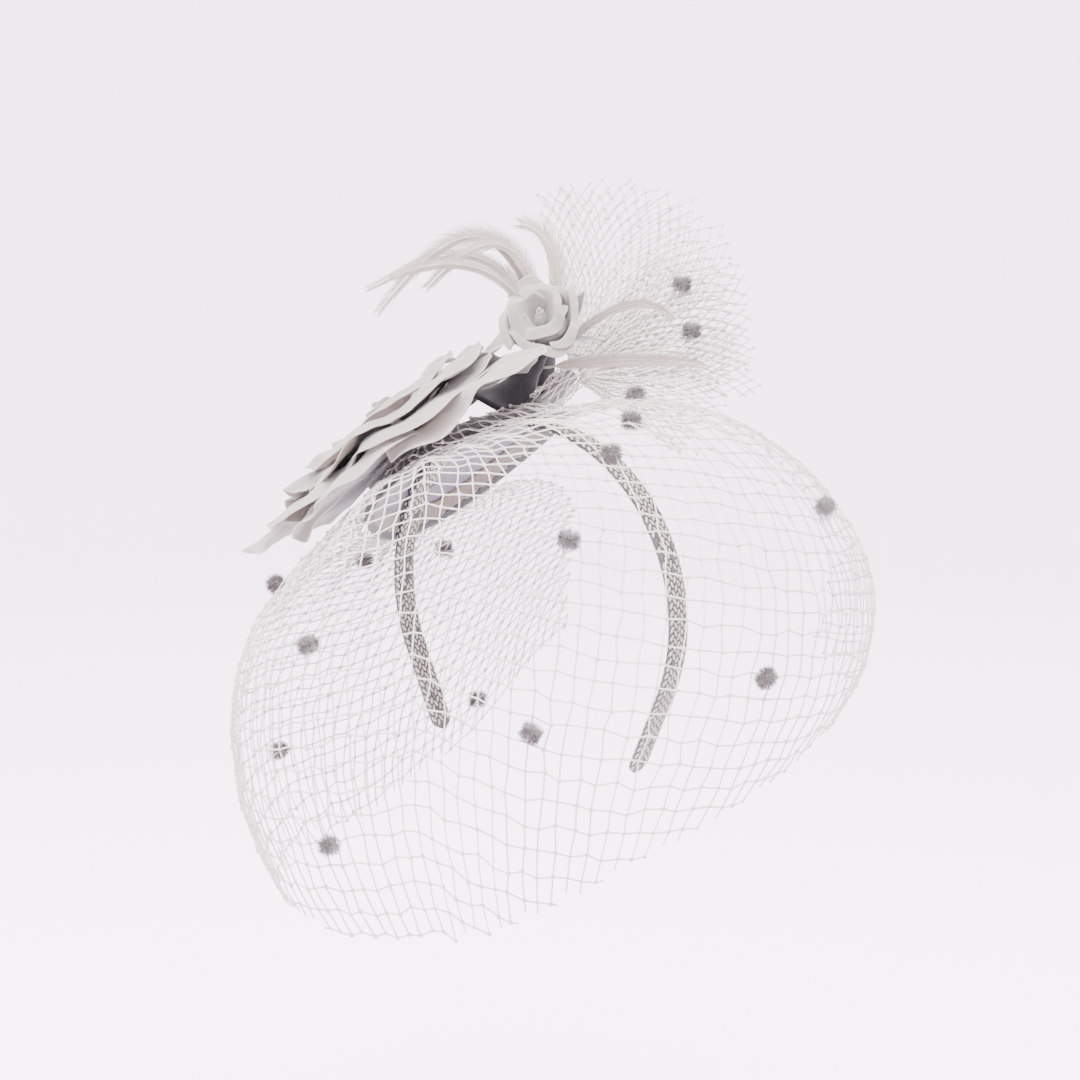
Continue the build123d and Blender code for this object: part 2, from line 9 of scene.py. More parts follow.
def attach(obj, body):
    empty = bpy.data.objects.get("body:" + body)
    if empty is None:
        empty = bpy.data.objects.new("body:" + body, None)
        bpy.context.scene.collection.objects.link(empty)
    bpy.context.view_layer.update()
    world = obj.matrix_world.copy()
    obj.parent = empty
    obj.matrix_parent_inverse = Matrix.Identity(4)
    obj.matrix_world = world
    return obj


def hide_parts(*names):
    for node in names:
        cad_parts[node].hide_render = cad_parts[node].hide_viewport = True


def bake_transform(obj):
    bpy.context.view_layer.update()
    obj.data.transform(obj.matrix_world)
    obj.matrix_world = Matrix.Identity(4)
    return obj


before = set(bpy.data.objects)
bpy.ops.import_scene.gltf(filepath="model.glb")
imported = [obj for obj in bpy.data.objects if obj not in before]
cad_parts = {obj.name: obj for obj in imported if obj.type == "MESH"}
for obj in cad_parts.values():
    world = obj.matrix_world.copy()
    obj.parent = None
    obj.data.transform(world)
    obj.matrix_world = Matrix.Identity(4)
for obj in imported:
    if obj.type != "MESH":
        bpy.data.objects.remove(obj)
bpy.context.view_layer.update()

bl_info = {
    "name": "Headband fascinator",
    "version": (1, 0, 0),
    "blender": (4, 5, 0),
    "location": "View3D > Sidebar > Fascinator",
    "description": "Builds a braided headband with a fabric rose, a rosette, feathers and dotted veiling",
    "category": "Add Mesh",
}

MM = 0.001

# --- sizes of the object, in millimetres, as the frame has them ---------------------------------

BAND_MID_R = 76.4            # middle of the band's thickness, on its arc
BAND_ARC_HALF = 114.0        # degrees from the top to where an arm begins
BAND_ARM = 39.0
BAND_HALF_WIDE = 6.0
BAND_HALF_THICK = 1.4
BAND_TIP_R = 5.5             # round tip, seen from the front
PLAIN_HINGE = 60.0
FLOWER_HINGE = -84.0
BRAID_SEAM = -20.0           # the two braid lengths meet under the base

BASE_AXIS = Vector((-0.6, 0.0, 0.8))
BASE_ALONG = Vector((0.8, 0.0, 0.6))
BASE_HALF_LONG = 50.0
BASE_HALF_WIDE = 43.0
RIBBON_R = 78.33
LINING_R = 78.88
BASE_R = 79.43
BASE_THICK = 2.0
LINING_SET_IN = 1.5
RIBBON_WIDE = 8.0

ROSE_AXIS = Vector((-0.641, -0.2, 0.741)).normalized()
ROSE_LONG_WAY = Vector((-0.509, -0.6105, -0.6045))
ROSE_ROOT_R = 8.3
# name, heights of the cloth at root, middle and rim, then each petal's direction, length, half angle and
# how far its rim stands up
ROSE_LAYERS = (
    ("outer_petal", (85.1, 84.6, 81.4),
     ((0.0, 84.0, 31.0, 4.0), (60.0, 82.0, 31.0, 0.0), (128.0, 81.0, 39.0, 1.0), (180.0, 57.0, 30.0, 13.0),
      (240.0, 64.0, 32.0, 10.0), (300.0, 80.0, 31.0, 9.0))),
    ("middle_petal", (88.6, 90.6, 89.0),
     ((26.0, 74.0, 38.0, 3.0), (98.0, 72.0, 39.0, 0.0), (168.0, 62.0, 36.0, 13.0), (242.0, 60.0, 38.0, 11.0),
      (314.0, 70.0, 38.0, 8.0))),
    ("inner_petal", (92.1, 96.5, 96.5),
     ((60.0, 58.0, 39.0, 0.0), (132.0, 58.0, 39.0, 5.0), (204.0, 54.0, 39.0, 10.0), (276.0, 51.0, 38.0, 9.0),
      (348.0, 54.0, 39.0, 3.0))),
    ("upper_petal", (95.4, 102.0, 103.5),
     ((15.0, 42.0, 48.0, 1.0), (105.0, 39.0, 47.0, 2.0), (195.0, 42.0, 48.0, 7.0), (285.0, 40.0, 48.0, 7.0))),
)
ROSETTE_CENTRE = Vector((-13.5, 22.3, 116.2))
ROSETTE_AXIS = Vector((0.15, -0.45, 0.88)).normalized()
ROSETTE_BACK = Vector((-0.631, 0.748, 0.2)).normalized()
# root, bend, tip, width
LEAVES = (
    ((-9.5, 32.0, 108.5), (-6.5, 35.5, 118.0), (-1.5, 36.5, 128.5), 8.0),
    ((-6.2, 26.4, 108.1), (2.5, 29.0, 110.0), (12.0, 34.0, 108.0), 8.0),
)
LEAF_TWIST = 55.0

FEATHER_STEM_TOP = Vector((-20.3, 34.5, 99.0))
# root offset, bend, tip, width
FEATHERS = (
    ((-1.3, 1.5, -0.4), (-41.9, 18.2, 150.4), (-65.0, -26.3, 119.6), 9.0),
    ((0.0, 0.0, 0.0), (-34.0, 24.0, 146.0), (-51.0, -10.0, 130.0), 9.0),
    ((1.5, -1.8, 0.5), (-37.0, 9.0, 138.0), (-61.0, -36.5, 131.4), 6.0),
    ((-2.4, 2.6, -0.8), (-25.4, 45.9, 138.7), (-38.9, 38.7, 155.2), 10.0),
    ((-1.2, -2.4, 0.0), (-28.5, 28.5, 122.0), (-35.0, 24.0, 136.5), 6.0),
    ((-3.0, 1.2, 0.0), (-46.5, 24.6, 139.5), (-75.0, -8.0, 133.5), 6.0),
)
SIDE_FEATHERS = (
    ((-12.8, 22.3, 95.9), (16.0, 40.4, 99.6), (44.0, 58.4, 98.2), 7.0),
    ((-17.8, 36.2, 99.9), (8.5, 50.0, 121.0), (26.5, 62.0, 116.0), 5.0),
)

# degrees round from the face, then radius and height of shoulder, belly and hem
VEIL_STATIONS = (
    (-150.0, 86.0, 30.0, 96.0, 0.0, 95.0, -36.0),
    (-120.0, 92.0, 12.0, 100.0, -35.0, 95.0, -86.0),
    (-90.0, 99.0, -2.0, 108.0, -50.0, 93.0, -110.0),
    (-60.0, 107.0, 1.0, 126.0, -46.0, 99.0, -113.0),
    (-30.0, 106.0, 20.0, 132.0, -36.0, 114.0, -114.0),
    (0.0, 100.0, 48.0, 134.0, -20.0, 128.0, -111.0),
    (30.0, 94.0, 62.0, 136.0, -4.0, 130.0, -104.0),
    (60.0, 90.0, 70.0, 138.0, 10.0, 129.0, -74.0),
    (90.0, 88.0, 74.0, 138.0, 18.0, 129.0, -52.0),
    (120.0, 88.0, 76.0, 138.0, 24.0, 130.0, -39.0),
    (150.0, 84.0, 72.0, 132.0, 22.0, 128.0, -31.0),
)
VEIL_FIRST = -150.0
VEIL_SPREAD = 300.0
VEIL_FLAT = (240.0, 700.0)
VEIL_TOP_OUT = 2.65
VEIL_SEWN = 0.06             # share of the net's width that is sewn over the base
FAN_APEX = Vector((-10.6, 38.7, 91.1))
FAN_SIDE = Vector((0.76, 0.649, 0.0)).normalized()
FAN_UP = Vector((-0.316, 0.371, 0.872)).normalized()
FAN_START_R = 3.5
FAN_ANGLES = (-9.0, 98.0)
FAN_RADII = (83.0, 84.0, 94.0, 103.0, 101.0, 94.0)
FAN_FLAT = (118.0, 330.0)
NECK_FLAT = (30.0, 150.0)
VEIL_DOTS = (
    (-44.0, 0.34), (-4.0, 0.56), (-66.0, 0.82), (6.0, 0.86), (-88.0, 0.27), (-114.0, 0.38), (46.0, 0.46),
    (-124.0, 0.92), (40.0, 0.74), (78.0, 0.76), (110.0, 0.54), (62.0, 0.30), (124.0, 0.13), (80.0, 0.22),
)
FAN_DOTS = ((40.0, 64.0), (20.0, 56.0))
DOT_PILE_COUNT = 1100
DOT_CORE = (3.6, 2.2, 2.2)   # half its length, width and height
DOT_OFF_VEIL = 2.2
DOT_OFF_FAN = 3.0

WHIP_STITCHES = 16           # on each side of the band
BARB_FULL = 2.2              # a barb's width as a share of the gap between barbs
KNOT_SIZES = (0.85, 1.0, 1.18)
GREY_SHARE = 0.84            # share of a dot's pile that is grey

# where the bound stems stand on the base: along it and across it
ROSETTE_FOOT = (25.0, 13.0)
FEATHER_FOOT = (30.0, 28.0)
FAN_FOOT = (41.0, 15.0)

# colours that stay as they are
SPRING_LIGHT = (0.10, 0.10, 0.11)
SPRING_DARK = (0.05, 0.05, 0.055)
EDGE_CLOTH = (0.010, 0.010, 0.011)
# painted shade of the black binding: the binding turns to this colour towards its under side
EDGE_PAINTED_SHADE = (0.007, 0.007, 0.008)
SEWING_THREAD = (0.03, 0.03, 0.032)
# the rose's felt core and backing take the petals' painted shade tone, so that where they show between petals
# they read as shaded cloth
ROSE_FELT_SHADE_TONE = (0.085, 0.078, 0.08)
STEM_FELT = (0.012, 0.011, 0.012)
BINDING_THREAD = (0.07, 0.065, 0.065)
GATHER_THREAD = (0.2, 0.18, 0.18)
CHENILLE_PALE = (0.30, 0.26, 0.235)


# --- what a maker may change --------------------------------------------------------------------

def length_setting(label, note, value):
    """A length that can be changed in the sidebar."""
    return bpy.props.FloatProperty(
        name=label, description=note, default=value, min=0.00005, max=0.2, precision=5, unit="LENGTH"
    )


def colour_setting(label, note, value):
    """A colour that can be changed in the sidebar."""
    return bpy.props.FloatVectorProperty(
        name=label, description=note, default=value, min=0.0, max=1.0, size=3, subtype="COLOR"
    )


class FascinatorSizes(bpy.types.PropertyGroup):
    """Fine sizes of the headpiece's materials."""

    net_cell: length_setting("Net cell", "Side of one diamond of the veiling", 0.0079)
    net_thread: length_setting("Net thread", "Thickness of one thread of the veiling", 0.00048)
    net_knot: length_setting("Net knot", "Radius of a knot where threads cross", 0.00085)
    petal_cloth: length_setting("Petal cloth", "Thickness of the rose's cloth", 0.0005)
    petal_wave: length_setting("Petal wave", "How far the petals' rims rise and fall", 0.0036)
    barb_gap: length_setting("Barb gap", "Distance between a feather's barbs", 0.0005)
    stitch_long: length_setting("Stitch length", "Length of one stitch of the braid", 0.0031)
    fuzz_length: length_setting("Fuzz length", "Length of a chenille dot's pile", 0.0050)


class FascinatorColours(bpy.types.PropertyGroup):
    """Colours of the headpiece's cloths and threads."""

    rose: colour_setting("Rose", "Lit cloth of the rose's petals", (0.165, 0.15, 0.132))
    # rose_shade is painted shade: the petals' colour turns to it towards their roots, where the layers above
    # shade them.
    rose_shade: colour_setting("Rose shade", "Deeper dye near the petals' roots", (0.105, 0.095, 0.10))
    rosette: colour_setting("Rosette", "Cloth of the small rosette", (0.19, 0.174, 0.152))
    leaf: colour_setting("Leaf", "Cloth of the leaves", (0.08, 0.072, 0.074))
    feather: colour_setting("Feather", "Barbs of the feathers", (0.27, 0.235, 0.195))
    net: colour_setting("Net", "Thread of the veiling", (0.46, 0.42, 0.39))
    knot: colour_setting("Knot", "Knots of the veiling", (0.40, 0.36, 0.33))
    braid_light: colour_setting("Braid light", "Pale strands of the braid", (0.34, 0.31, 0.25))
    braid_dark: colour_setting("Braid dark", "Dark strands of the braid", (0.06, 0.055, 0.05))
    chenille: colour_setting("Chenille", "Pile of the dots", (0.085, 0.068, 0.066))
    felt: colour_setting("Felt", "Felt of the base", (0.006, 0.006, 0.007))
    lining: colour_setting("Lining", "Cloth under the base", (0.12, 0.105, 0.125))
    ribbon: colour_setting("Ribbon", "Ribbon round the lining", (0.12, 0.088, 0.066))
    backdrop: colour_setting("Backdrop", "Studio floor and backdrop", (0.885, 0.825, 0.895))


# --- small helpers ------------------------------------------------------------------------------

def smooth_step(low, high, value):
    """0 below low, 1 above high, and a smooth rise between."""
    share = min(max((value - low) / (high - low), 0.0), 1.0)
    return share * share * (3.0 - 2.0 * share)


def add_piece(name, bm, *materials, smooth=True):
    """A new object from a bmesh, in metres and at the origin."""
    mesh = bpy.data.meshes.new(name)
    bm.to_mesh(mesh)
    bm.free()
    for material in materials:
        mesh.materials.append(material)
    mesh.shade_smooth() if smooth else mesh.shade_flat()
    piece = bpy.data.objects.new(name, mesh)
    bpy.context.scene.collection.objects.link(piece)
    return piece


def thicken(piece, thickness, offset=0.0):
    """Gives a cloth surface its thickness."""
    wall = piece.modifiers.new("cloth_thickness", "SOLIDIFY")
    wall.thickness = thickness
    wall.offset = offset
    return piece


def refine(piece, levels=1):
    """Smooths a surface by subdivision."""
    smoother = piece.modifiers.new("smooth_surface", "SUBSURF")
    smoother.levels = levels
    smoother.render_levels = levels
    return piece


def cloth(columns, rows, place, target=None):
    """A grid of cloth; place(u, v) gives each of its points in millimetres."""
    bm = bmesh.new()
    bm.loops.layers.uv.new("cloth_uv")
    bmesh.ops.create_grid(bm, x_segments=columns, y_segments=rows, size=0.5, calc_uvs=True)
    for vert in bm.verts:
        vert.co = place(vert.co.x + 0.5, vert.co.y + 0.5) * MM
    if target is None:
        return bm
    scratch = bpy.data.meshes.new("scratch")
    bm.to_mesh(scratch)
    bm.free()
    target.from_mesh(scratch)
    bpy.data.meshes.remove(scratch)
    return target


def close_seams(bm, gap=0.00002):
    """Joins edges that meet, and turns the faces outwards."""
    bmesh.ops.remove_doubles(bm, verts=bm.verts, dist=gap)
    bmesh.ops.recalc_face_normals(bm, faces=bm.faces)
    return bm


def tube(points, radii, sides, target=None):
    """A tapering tube along points, in millimetres, made by extruding a ring."""
    bm = target or bmesh.new()
    upright = abs((points[-1] - points[0]).normalized().z) >= 0.9
    side_axis = Vector((1.0, 0.0, 0.0)) if upright else Vector((0.0, 0.0, 1.0))

    def ring_matrix(index):
        before = points[max(index - 1, 0)]
        after = points[min(index + 1, len(points) - 1)]
        way = (after - before).normalized()
        left = side_axis.cross(way).normalized()
        up = way.cross(left)
        turn = Matrix((left, up, way)).transposed().to_4x4()
        return Matrix.Translation(points[index] * MM) @ turn @ Matrix.Diagonal((radii[index],) * 3 + (1.0,))

    made = bmesh.ops.create_circle(bm, segments=sides, radius=MM, cap_ends=True, matrix=ring_matrix(0))
    ring = made["verts"]
    edges = [edge for edge in bm.edges if edge.verts[0] in ring and edge.verts[1] in ring]
    here = ring_matrix(0)
    for index in range(1, len(points)):
        made = bmesh.ops.extrude_edge_only(bm, edges=edges)["geom"]
        ring = [part for part in made if isinstance(part, bmesh.types.BMVert)]
        edges = [part for part in made if isinstance(part, bmesh.types.BMEdge)]
        there = ring_matrix(index)
        bmesh.ops.transform(bm, matrix=there @ here.inverted(), verts=ring)
        here = there
    bmesh.ops.contextual_create(bm, geom=edges)
    if target is None:
        bmesh.ops.recalc_face_normals(bm, faces=bm.faces)
    return bm


def bow_point(root, bend, tip, share):
    """A point on the bowed line through root, bend and tip."""
    control = 2.0 * bend - (root + tip) / 2.0
    rest = 1.0 - share
    return rest * rest * root + 2.0 * rest * share * control + share * share * tip


def bow_way(root, bend, tip, share):
    """The direction of that line."""
    control = 2.0 * bend - (root + tip) / 2.0
    return ((1.0 - share) * (control - root) + share * (tip - control)).normalized()


def base_point(radius, along, across):
    """A point on the head's curve above a place on the base."""
    height = math.sqrt(radius * radius - along * along - across * across)
    return BASE_AXIS * height + BASE_ALONG * along + Vector((0.0, across, 0.0))


def axis_matrix(axis, along):
    """Turns local X, Y, Z to along, the third way, and axis."""
    x_way = (along - axis * along.dot(axis)).normalized()
    return Matrix((x_way, axis.cross(x_way), axis)).transposed()


ROSE_TURN = axis_matrix(ROSE_AXIS, ROSE_LONG_WAY)
ROSETTE_TURN = axis_matrix(ROSETTE_AXIS, Vector((1.0, 0.0, 0.0)))


def rough(point, scale, seed=0.0):
    """Smooth noise, from -1 to 1, at a point in millimetres."""
    return noise.noise(Vector((point.x * scale + seed, point.y * scale, point.z * scale)))


def finish_piece(piece, body, slot, *nodes):
    """Sets what a piece rides on and the nodes that it stands for; its slot, the finish that it takes, is not
    used.
    """
    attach(piece, body)
    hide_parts(*nodes)
    return piece


# --- finishes -----------------------------------------------------------------------------------

def new_group(name, inputs, outputs):
    """An empty shader node group with its sockets."""
    group = bpy.data.node_groups.new(name, "ShaderNodeTree")
    for label, kind in inputs:
        group.interface.new_socket(name=label, in_out="INPUT", socket_type=kind)
    for label, kind in outputs:
        group.interface.new_socket(name=label, in_out="OUTPUT", socket_type=kind)
    return group, group.nodes.new("NodeGroupInput"), group.nodes.new("NodeGroupOutput")


def math_node(tree, kind, first, second=None):
    """A Math node; a number or a socket feeds each side."""
    node = tree.nodes.new("ShaderNodeMath")
    node.operation = kind
    for index, value in enumerate((first, second)):
        if value is None:
            continue
        if isinstance(value, (int, float)):
            node.inputs[index].default_value = value
        else:
            tree.links.new(value, node.inputs[index])
    return node.outputs[0]


def noise_node(tree, vector, scale, detail=3.0, roughness=0.55):
    """A Noise Texture node's value."""
    node = tree.nodes.new("ShaderNodeTexNoise")
    node.inputs["Detail"].default_value = detail
    node.inputs["Roughness"].default_value = roughness
    tree.links.new(vector, node.inputs["Vector"])
    if isinstance(scale, (int, float)):
        node.inputs["Scale"].default_value = scale
    else:
        tree.links.new(scale, node.inputs["Scale"])
    return node.outputs[0]


def mottle_group():
    """Uneven dye: two colours mixed by cloudy noise."""
    name = "uneven_dye"
    if name in bpy.data.node_groups:
        return bpy.data.node_groups[name]
    group, given, result = new_group(
        name,
        (("Vector", "NodeSocketVector"), ("Scale", "NodeSocketFloat"),
         ("Light", "NodeSocketColor"), ("Dark", "NodeSocketColor")),
        (("Color", "NodeSocketColor"),),
    )
    cloudy = noise_node(group, given.outputs["Vector"], given.outputs["Scale"], 4.0)
    spread = group.nodes.new("ShaderNodeMapRange")
    spread.inputs["From Min"].default_value = 0.3
    spread.inputs["From Max"].default_value = 0.7
    group.links.new(cloudy, spread.inputs["Value"])
    mix = group.nodes.new("ShaderNodeMix")
    mix.data_type = "RGBA"
    group.links.new(spread.outputs[0], mix.inputs["Factor"])
    group.links.new(given.outputs["Light"], mix.inputs["A"])
    group.links.new(given.outputs["Dark"], mix.inputs["B"])
    group.links.new(mix.outputs["Result"], result.inputs["Color"])
    return group


def weave_group():
    """Plain weave: threads over and under each other, with a little slub."""
    name = "plain_weave"
    if name in bpy.data.node_groups:
        return bpy.data.node_groups[name]
    group, given, result = new_group(
        name,
        (("Vector", "NodeSocketVector"), ("Threads", "NodeSocketFloat")),
        (("Height", "NodeSocketFloat"),),
    )
    split = group.nodes.new("ShaderNodeSeparateXYZ")
    group.links.new(given.outputs["Vector"], split.inputs[0])
    warp = math_node(group, "SINE", math_node(group, "MULTIPLY", split.outputs[0], given.outputs["Threads"]))
    weft = math_node(group, "SINE", math_node(group, "MULTIPLY", split.outputs[1], given.outputs["Threads"]))
    crossing = math_node(group, "MULTIPLY", warp, weft)
    slub = noise_node(group, given.outputs["Vector"], 30.0, 4.0)
    total = math_node(group, "ADD", crossing, math_node(group, "MULTIPLY", slub, 2.0))
    group.links.new(total, result.inputs["Height"])
    return group


def fibre_group():
    """Fine fibres that run along the second coordinate."""
    name = "fine_fibres"
    if name in bpy.data.node_groups:
        return bpy.data.node_groups[name]
    group, given, result = new_group(
        name,
        (("Vector", "NodeSocketVector"), ("Across", "NodeSocketFloat"), ("Along", "NodeSocketFloat")),
        (("Height", "NodeSocketFloat"),),
    )
    split = group.nodes.new("ShaderNodeSeparateXYZ")
    group.links.new(given.outputs["Vector"], split.inputs[0])
    joined = group.nodes.new("ShaderNodeCombineXYZ")
    group.links.new(math_node(group, "MULTIPLY", split.outputs[0], given.outputs["Across"]), joined.inputs[0])
    group.links.new(math_node(group, "MULTIPLY", split.outputs[1], given.outputs["Along"]), joined.inputs[1])
    group.links.new(split.outputs[2], joined.inputs[2])
    group.links.new(noise_node(group, joined.outputs[0], 1.0, 5.0, 0.6), result.inputs["Height"])
    return group


def start_material(name, roughness, sheen=0.0, specular=0.3):
    """A material with its plain numbers on the shader itself."""
    made = bpy.data.materials.new(name)
    made.use_nodes = True
    shader = made.node_tree.nodes["Principled BSDF"]
    shader.inputs["Roughness"].default_value = roughness
    shader.inputs["Sheen Weight"].default_value = sheen
    shader.inputs["Specular IOR Level"].default_value = specular
    return made, made.node_tree, shader


def coordinates(tree, use_uv):
    """Object coordinates, or the piece's own UV map."""
    node = tree.nodes.new("ShaderNodeTexCoord")
    return node.outputs["UV" if use_uv else "Object"]


def place_group(tree, group, vector, **values):
    """Puts a shared effect in a material."""
    node = tree.nodes.new("ShaderNodeGroup")
    node.node_tree = group
    tree.links.new(vector, node.inputs["Vector"])
    for label, value in values.items():
        node.inputs[label].default_value = (*value, 1.0) if isinstance(value, tuple) else value
    return node.outputs[0]


def add_bump(tree, shader, height, strength, distance):
    """A bump that feeds the shader's normal."""
    bump = tree.nodes.new("ShaderNodeBump")
    bump.inputs["Strength"].default_value = strength
    bump.inputs["Distance"].default_value = distance
    tree.links.new(height, bump.inputs["Height"])
    tree.links.new(bump.outputs[0], shader.inputs["Normal"])


def darker(colour, share):
    """A share of a colour's strength."""
    return tuple(part * share for part in colour)


CLOTH_GLOW = 0.55            # how much of the light passes on through a thin cloth
CLOTH_GLOW_DEPTH = 0.004


def dyed_cloth(name, colour, painted_shade, roughness=0.75, sheen=0.25, scale=60.0, threads=500.0, creases=0.5):
    """A light dress cloth: uneven dye, weave, soft creases along the piece, painted shade towards its root
    and a painted highlight along its side edges and far end.
    """
    made, tree, shader = start_material(name, roughness, sheen)
    shader.inputs["Subsurface Weight"].default_value = CLOTH_GLOW
    shader.inputs["Subsurface Radius"].default_value = (1.0, 0.9, 0.85)
    shader.inputs["Subsurface Scale"].default_value = CLOTH_GLOW_DEPTH
    in_space = coordinates(tree, False)
    own = coordinates(tree, True)
    base = place_group(tree, mottle_group(), in_space, Scale=scale, Light=tuple(colour),
                       Dark=darker(colour, 0.86))
    split = tree.nodes.new("ShaderNodeSeparateXYZ")
    tree.links.new(own, split.inputs[0])
    # Painted shade: over the first three quarters of the piece's second UV coordinate, the colour fades from
    # the painted shade colour at its start (a petal's root) to the cloth's own colour.
    shade_ramp = tree.nodes.new("ShaderNodeMapRange")
    shade_ramp.interpolation_type = "SMOOTHSTEP"
    shade_ramp.inputs["From Max"].default_value = 0.75
    tree.links.new(split.outputs[1], shade_ramp.inputs["Value"])
    mix = tree.nodes.new("ShaderNodeMix")
    mix.data_type = "RGBA"
    mix.inputs["A"].default_value = (*painted_shade, 1.0)
    tree.links.new(shade_ramp.outputs[0], mix.inputs["Factor"])
    tree.links.new(base, mix.inputs["B"])
    # Painted highlight: the cloth's side edges and far end are made 1.2 times paler, as if their rims caught
    # light from above.
    edge = math_node(tree, "ABSOLUTE", math_node(tree, "SUBTRACT", split.outputs[0], 0.5))
    side = math_node(tree, "GREATER_THAN", edge, 0.485)
    tip = math_node(tree, "GREATER_THAN", split.outputs[1], 0.98)
    rim = math_node(tree, "MAXIMUM", side, tip)
    light = tree.nodes.new("ShaderNodeMix")
    light.data_type = "RGBA"
    light.inputs["B"].default_value = (*(min(1.0, part * 1.2) for part in colour), 1.0)
    tree.links.new(math_node(tree, "MULTIPLY", rim, 0.7), light.inputs["Factor"])
    tree.links.new(mix.outputs["Result"], light.inputs["A"])
    tree.links.new(light.outputs["Result"], shader.inputs["Base Color"])
    weave = place_group(tree, weave_group(), own, Threads=threads)
    crease = place_group(tree, fibre_group(), own, Across=14.0, Along=2.0)
    threads_up = math_node(tree, "MULTIPLY", weave, 0.08)
    height = math_node(tree, "ADD", threads_up, math_node(tree, "MULTIPLY", crease, creases))
    add_bump(tree, shader, height, 0.5, 0.0012)
    return made


def felt_finish(name, colour, sheen=0.4):
    """Pressed felt: matted fibres and lint."""
    made, tree, shader = start_material(name, 0.95, sheen, 0.15)
    own = coordinates(tree, False)
    dye = place_group(tree, mottle_group(), own, Scale=900.0, Light=tuple(min(1.0, c * 1.7) for c in colour),
                      Dark=darker(colour, 0.7))
    tree.links.new(dye, shader.inputs["Base Color"])
    add_bump(tree, shader, noise_node(tree, own, 2200.0, 5.0, 0.7), 0.7, 0.0004)
    return made


def thread_finish(name, colour, roughness=0.5, sheen=0.1):
    """Spun thread or strand: fibres along it and a slight shine."""
    made, tree, shader = start_material(name, roughness, sheen, 0.35)
    in_space = coordinates(tree, False)
    dye = place_group(tree, mottle_group(), in_space, Scale=260.0, Light=tuple(colour),
                      Dark=darker(colour, 0.8))
    tree.links.new(dye, shader.inputs["Base Color"])
    fibres = place_group(tree, fibre_group(), coordinates(tree, True), Across=40.0, Along=6.0)
    add_bump(tree, shader, fibres, 0.5, 0.0003)
    return made


def net_finish(name, colour):
    """Stiffened veiling thread."""
    made, tree, shader = start_material(name, 0.45, 0.0, 0.4)
    own = coordinates(tree, False)
    dye = place_group(tree, mottle_group(), own, Scale=120.0, Light=tuple(colour), Dark=darker(colour, 0.9))
    tree.links.new(dye, shader.inputs["Base Color"])
    add_bump(tree, shader, noise_node(tree, own, 3000.0, 2.0), 0.2, 0.0001)
    return made


def ribbed_finish(name, colour):
    """Ribbed ribbon: cords across its width."""
    made, tree, shader = start_material(name, 0.6, 0.3)
    own = coordinates(tree, True)
    dye = place_group(tree, mottle_group(), coordinates(tree, False), Scale=90.0, Light=tuple(colour),
                      Dark=darker(colour, 0.78))
    tree.links.new(dye, shader.inputs["Base Color"])
    split = tree.nodes.new("ShaderNodeSeparateXYZ")
    tree.links.new(own, split.inputs[0])
    cords = math_node(tree, "SINE", math_node(tree, "MULTIPLY", split.outputs[0], 1900.0))
    add_bump(tree, shader, cords, 0.5, 0.0003)
    return made


def strip_finish():
    """Spring strip inside the braid: brushed, lacquered steel."""
    made, tree, shader = start_material("lacquered_spring", 0.35, 0.0, 0.5)
    shader.inputs["Metallic"].default_value = 0.8
    own = coordinates(tree, False)
    dye = place_group(tree, mottle_group(), own, Scale=80.0, Light=SPRING_LIGHT,
                      Dark=SPRING_DARK)
    tree.links.new(dye, shader.inputs["Base Color"])
    add_bump(tree, shader, noise_node(tree, own, 1500.0, 2.0), 0.15, 0.0001)
    return made


def feather_finish(name, colour):
    """Feather barbs: pale, slightly silky, darker here and there."""
    made, tree, shader = start_material(name, 0.6, 0.35, 0.3)
    own = coordinates(tree, False)
    dye = place_group(tree, mottle_group(), own, Scale=150.0, Light=tuple(colour), Dark=darker(colour, 0.82))
    tree.links.new(dye, shader.inputs["Base Color"])
    add_bump(tree, shader, noise_node(tree, own, 4000.0, 2.0), 0.2, 0.0001)
    return made


# --- headband -----------------------------------------------------------------------------------

def band_frame(length):
    """Middle, direction and outward side of the band, at a length from its top towards +X."""
    arc = BAND_MID_R * math.radians(BAND_ARC_HALF)
    on_arc = max(-arc, min(arc, length))
    turn = on_arc / BAND_MID_R
    out = Vector((math.sin(turn), 0.0, math.cos(turn)))
    way = Vector((math.cos(turn), 0.0, -math.sin(turn)))
    return out * BAND_MID_R + way * (length - on_arc), way, out


def section_table(half_wide, half_thick, steps=240):
    """Points round the band's rounded section, an equal distance apart, and its girth."""
    corners = []
    for index in range(steps + 1):
        turn = 2.0 * math.pi * index / steps
        x = abs(math.cos(turn)) ** 0.55 * math.copysign(half_wide, math.cos(turn))
        z = abs(math.sin(turn)) ** 0.7 * math.copysign(half_thick, math.sin(turn))
        corners.append(Vector((x, z)))
    reach = [0.0]
    for before, after in zip(corners, corners[1:]):
        reach.append(reach[-1] + (after - before).length)
    girth = reach[-1]
    table = []
    place = 0
    for index in range(steps):
        wanted = girth * index / steps
        while reach[place + 1] < wanted:
            place += 1
        share = (wanted - reach[place]) / max(reach[place + 1] - reach[place], 1e-9)
        table.append(corners[place].lerp(corners[place + 1], share))
    return table, girth


STITCH_COLUMNS = 12
STITCH_PITCH = 3.3
STITCH_WIDE = 0.37           # half a stitch's width as a share of its column's
STITCH_LEAN = 25.0
SLEEVE_STEP = 2.4
SECTION, GIRTH = section_table(BAND_HALF_WIDE - 0.45, BAND_HALF_THICK - 0.3)


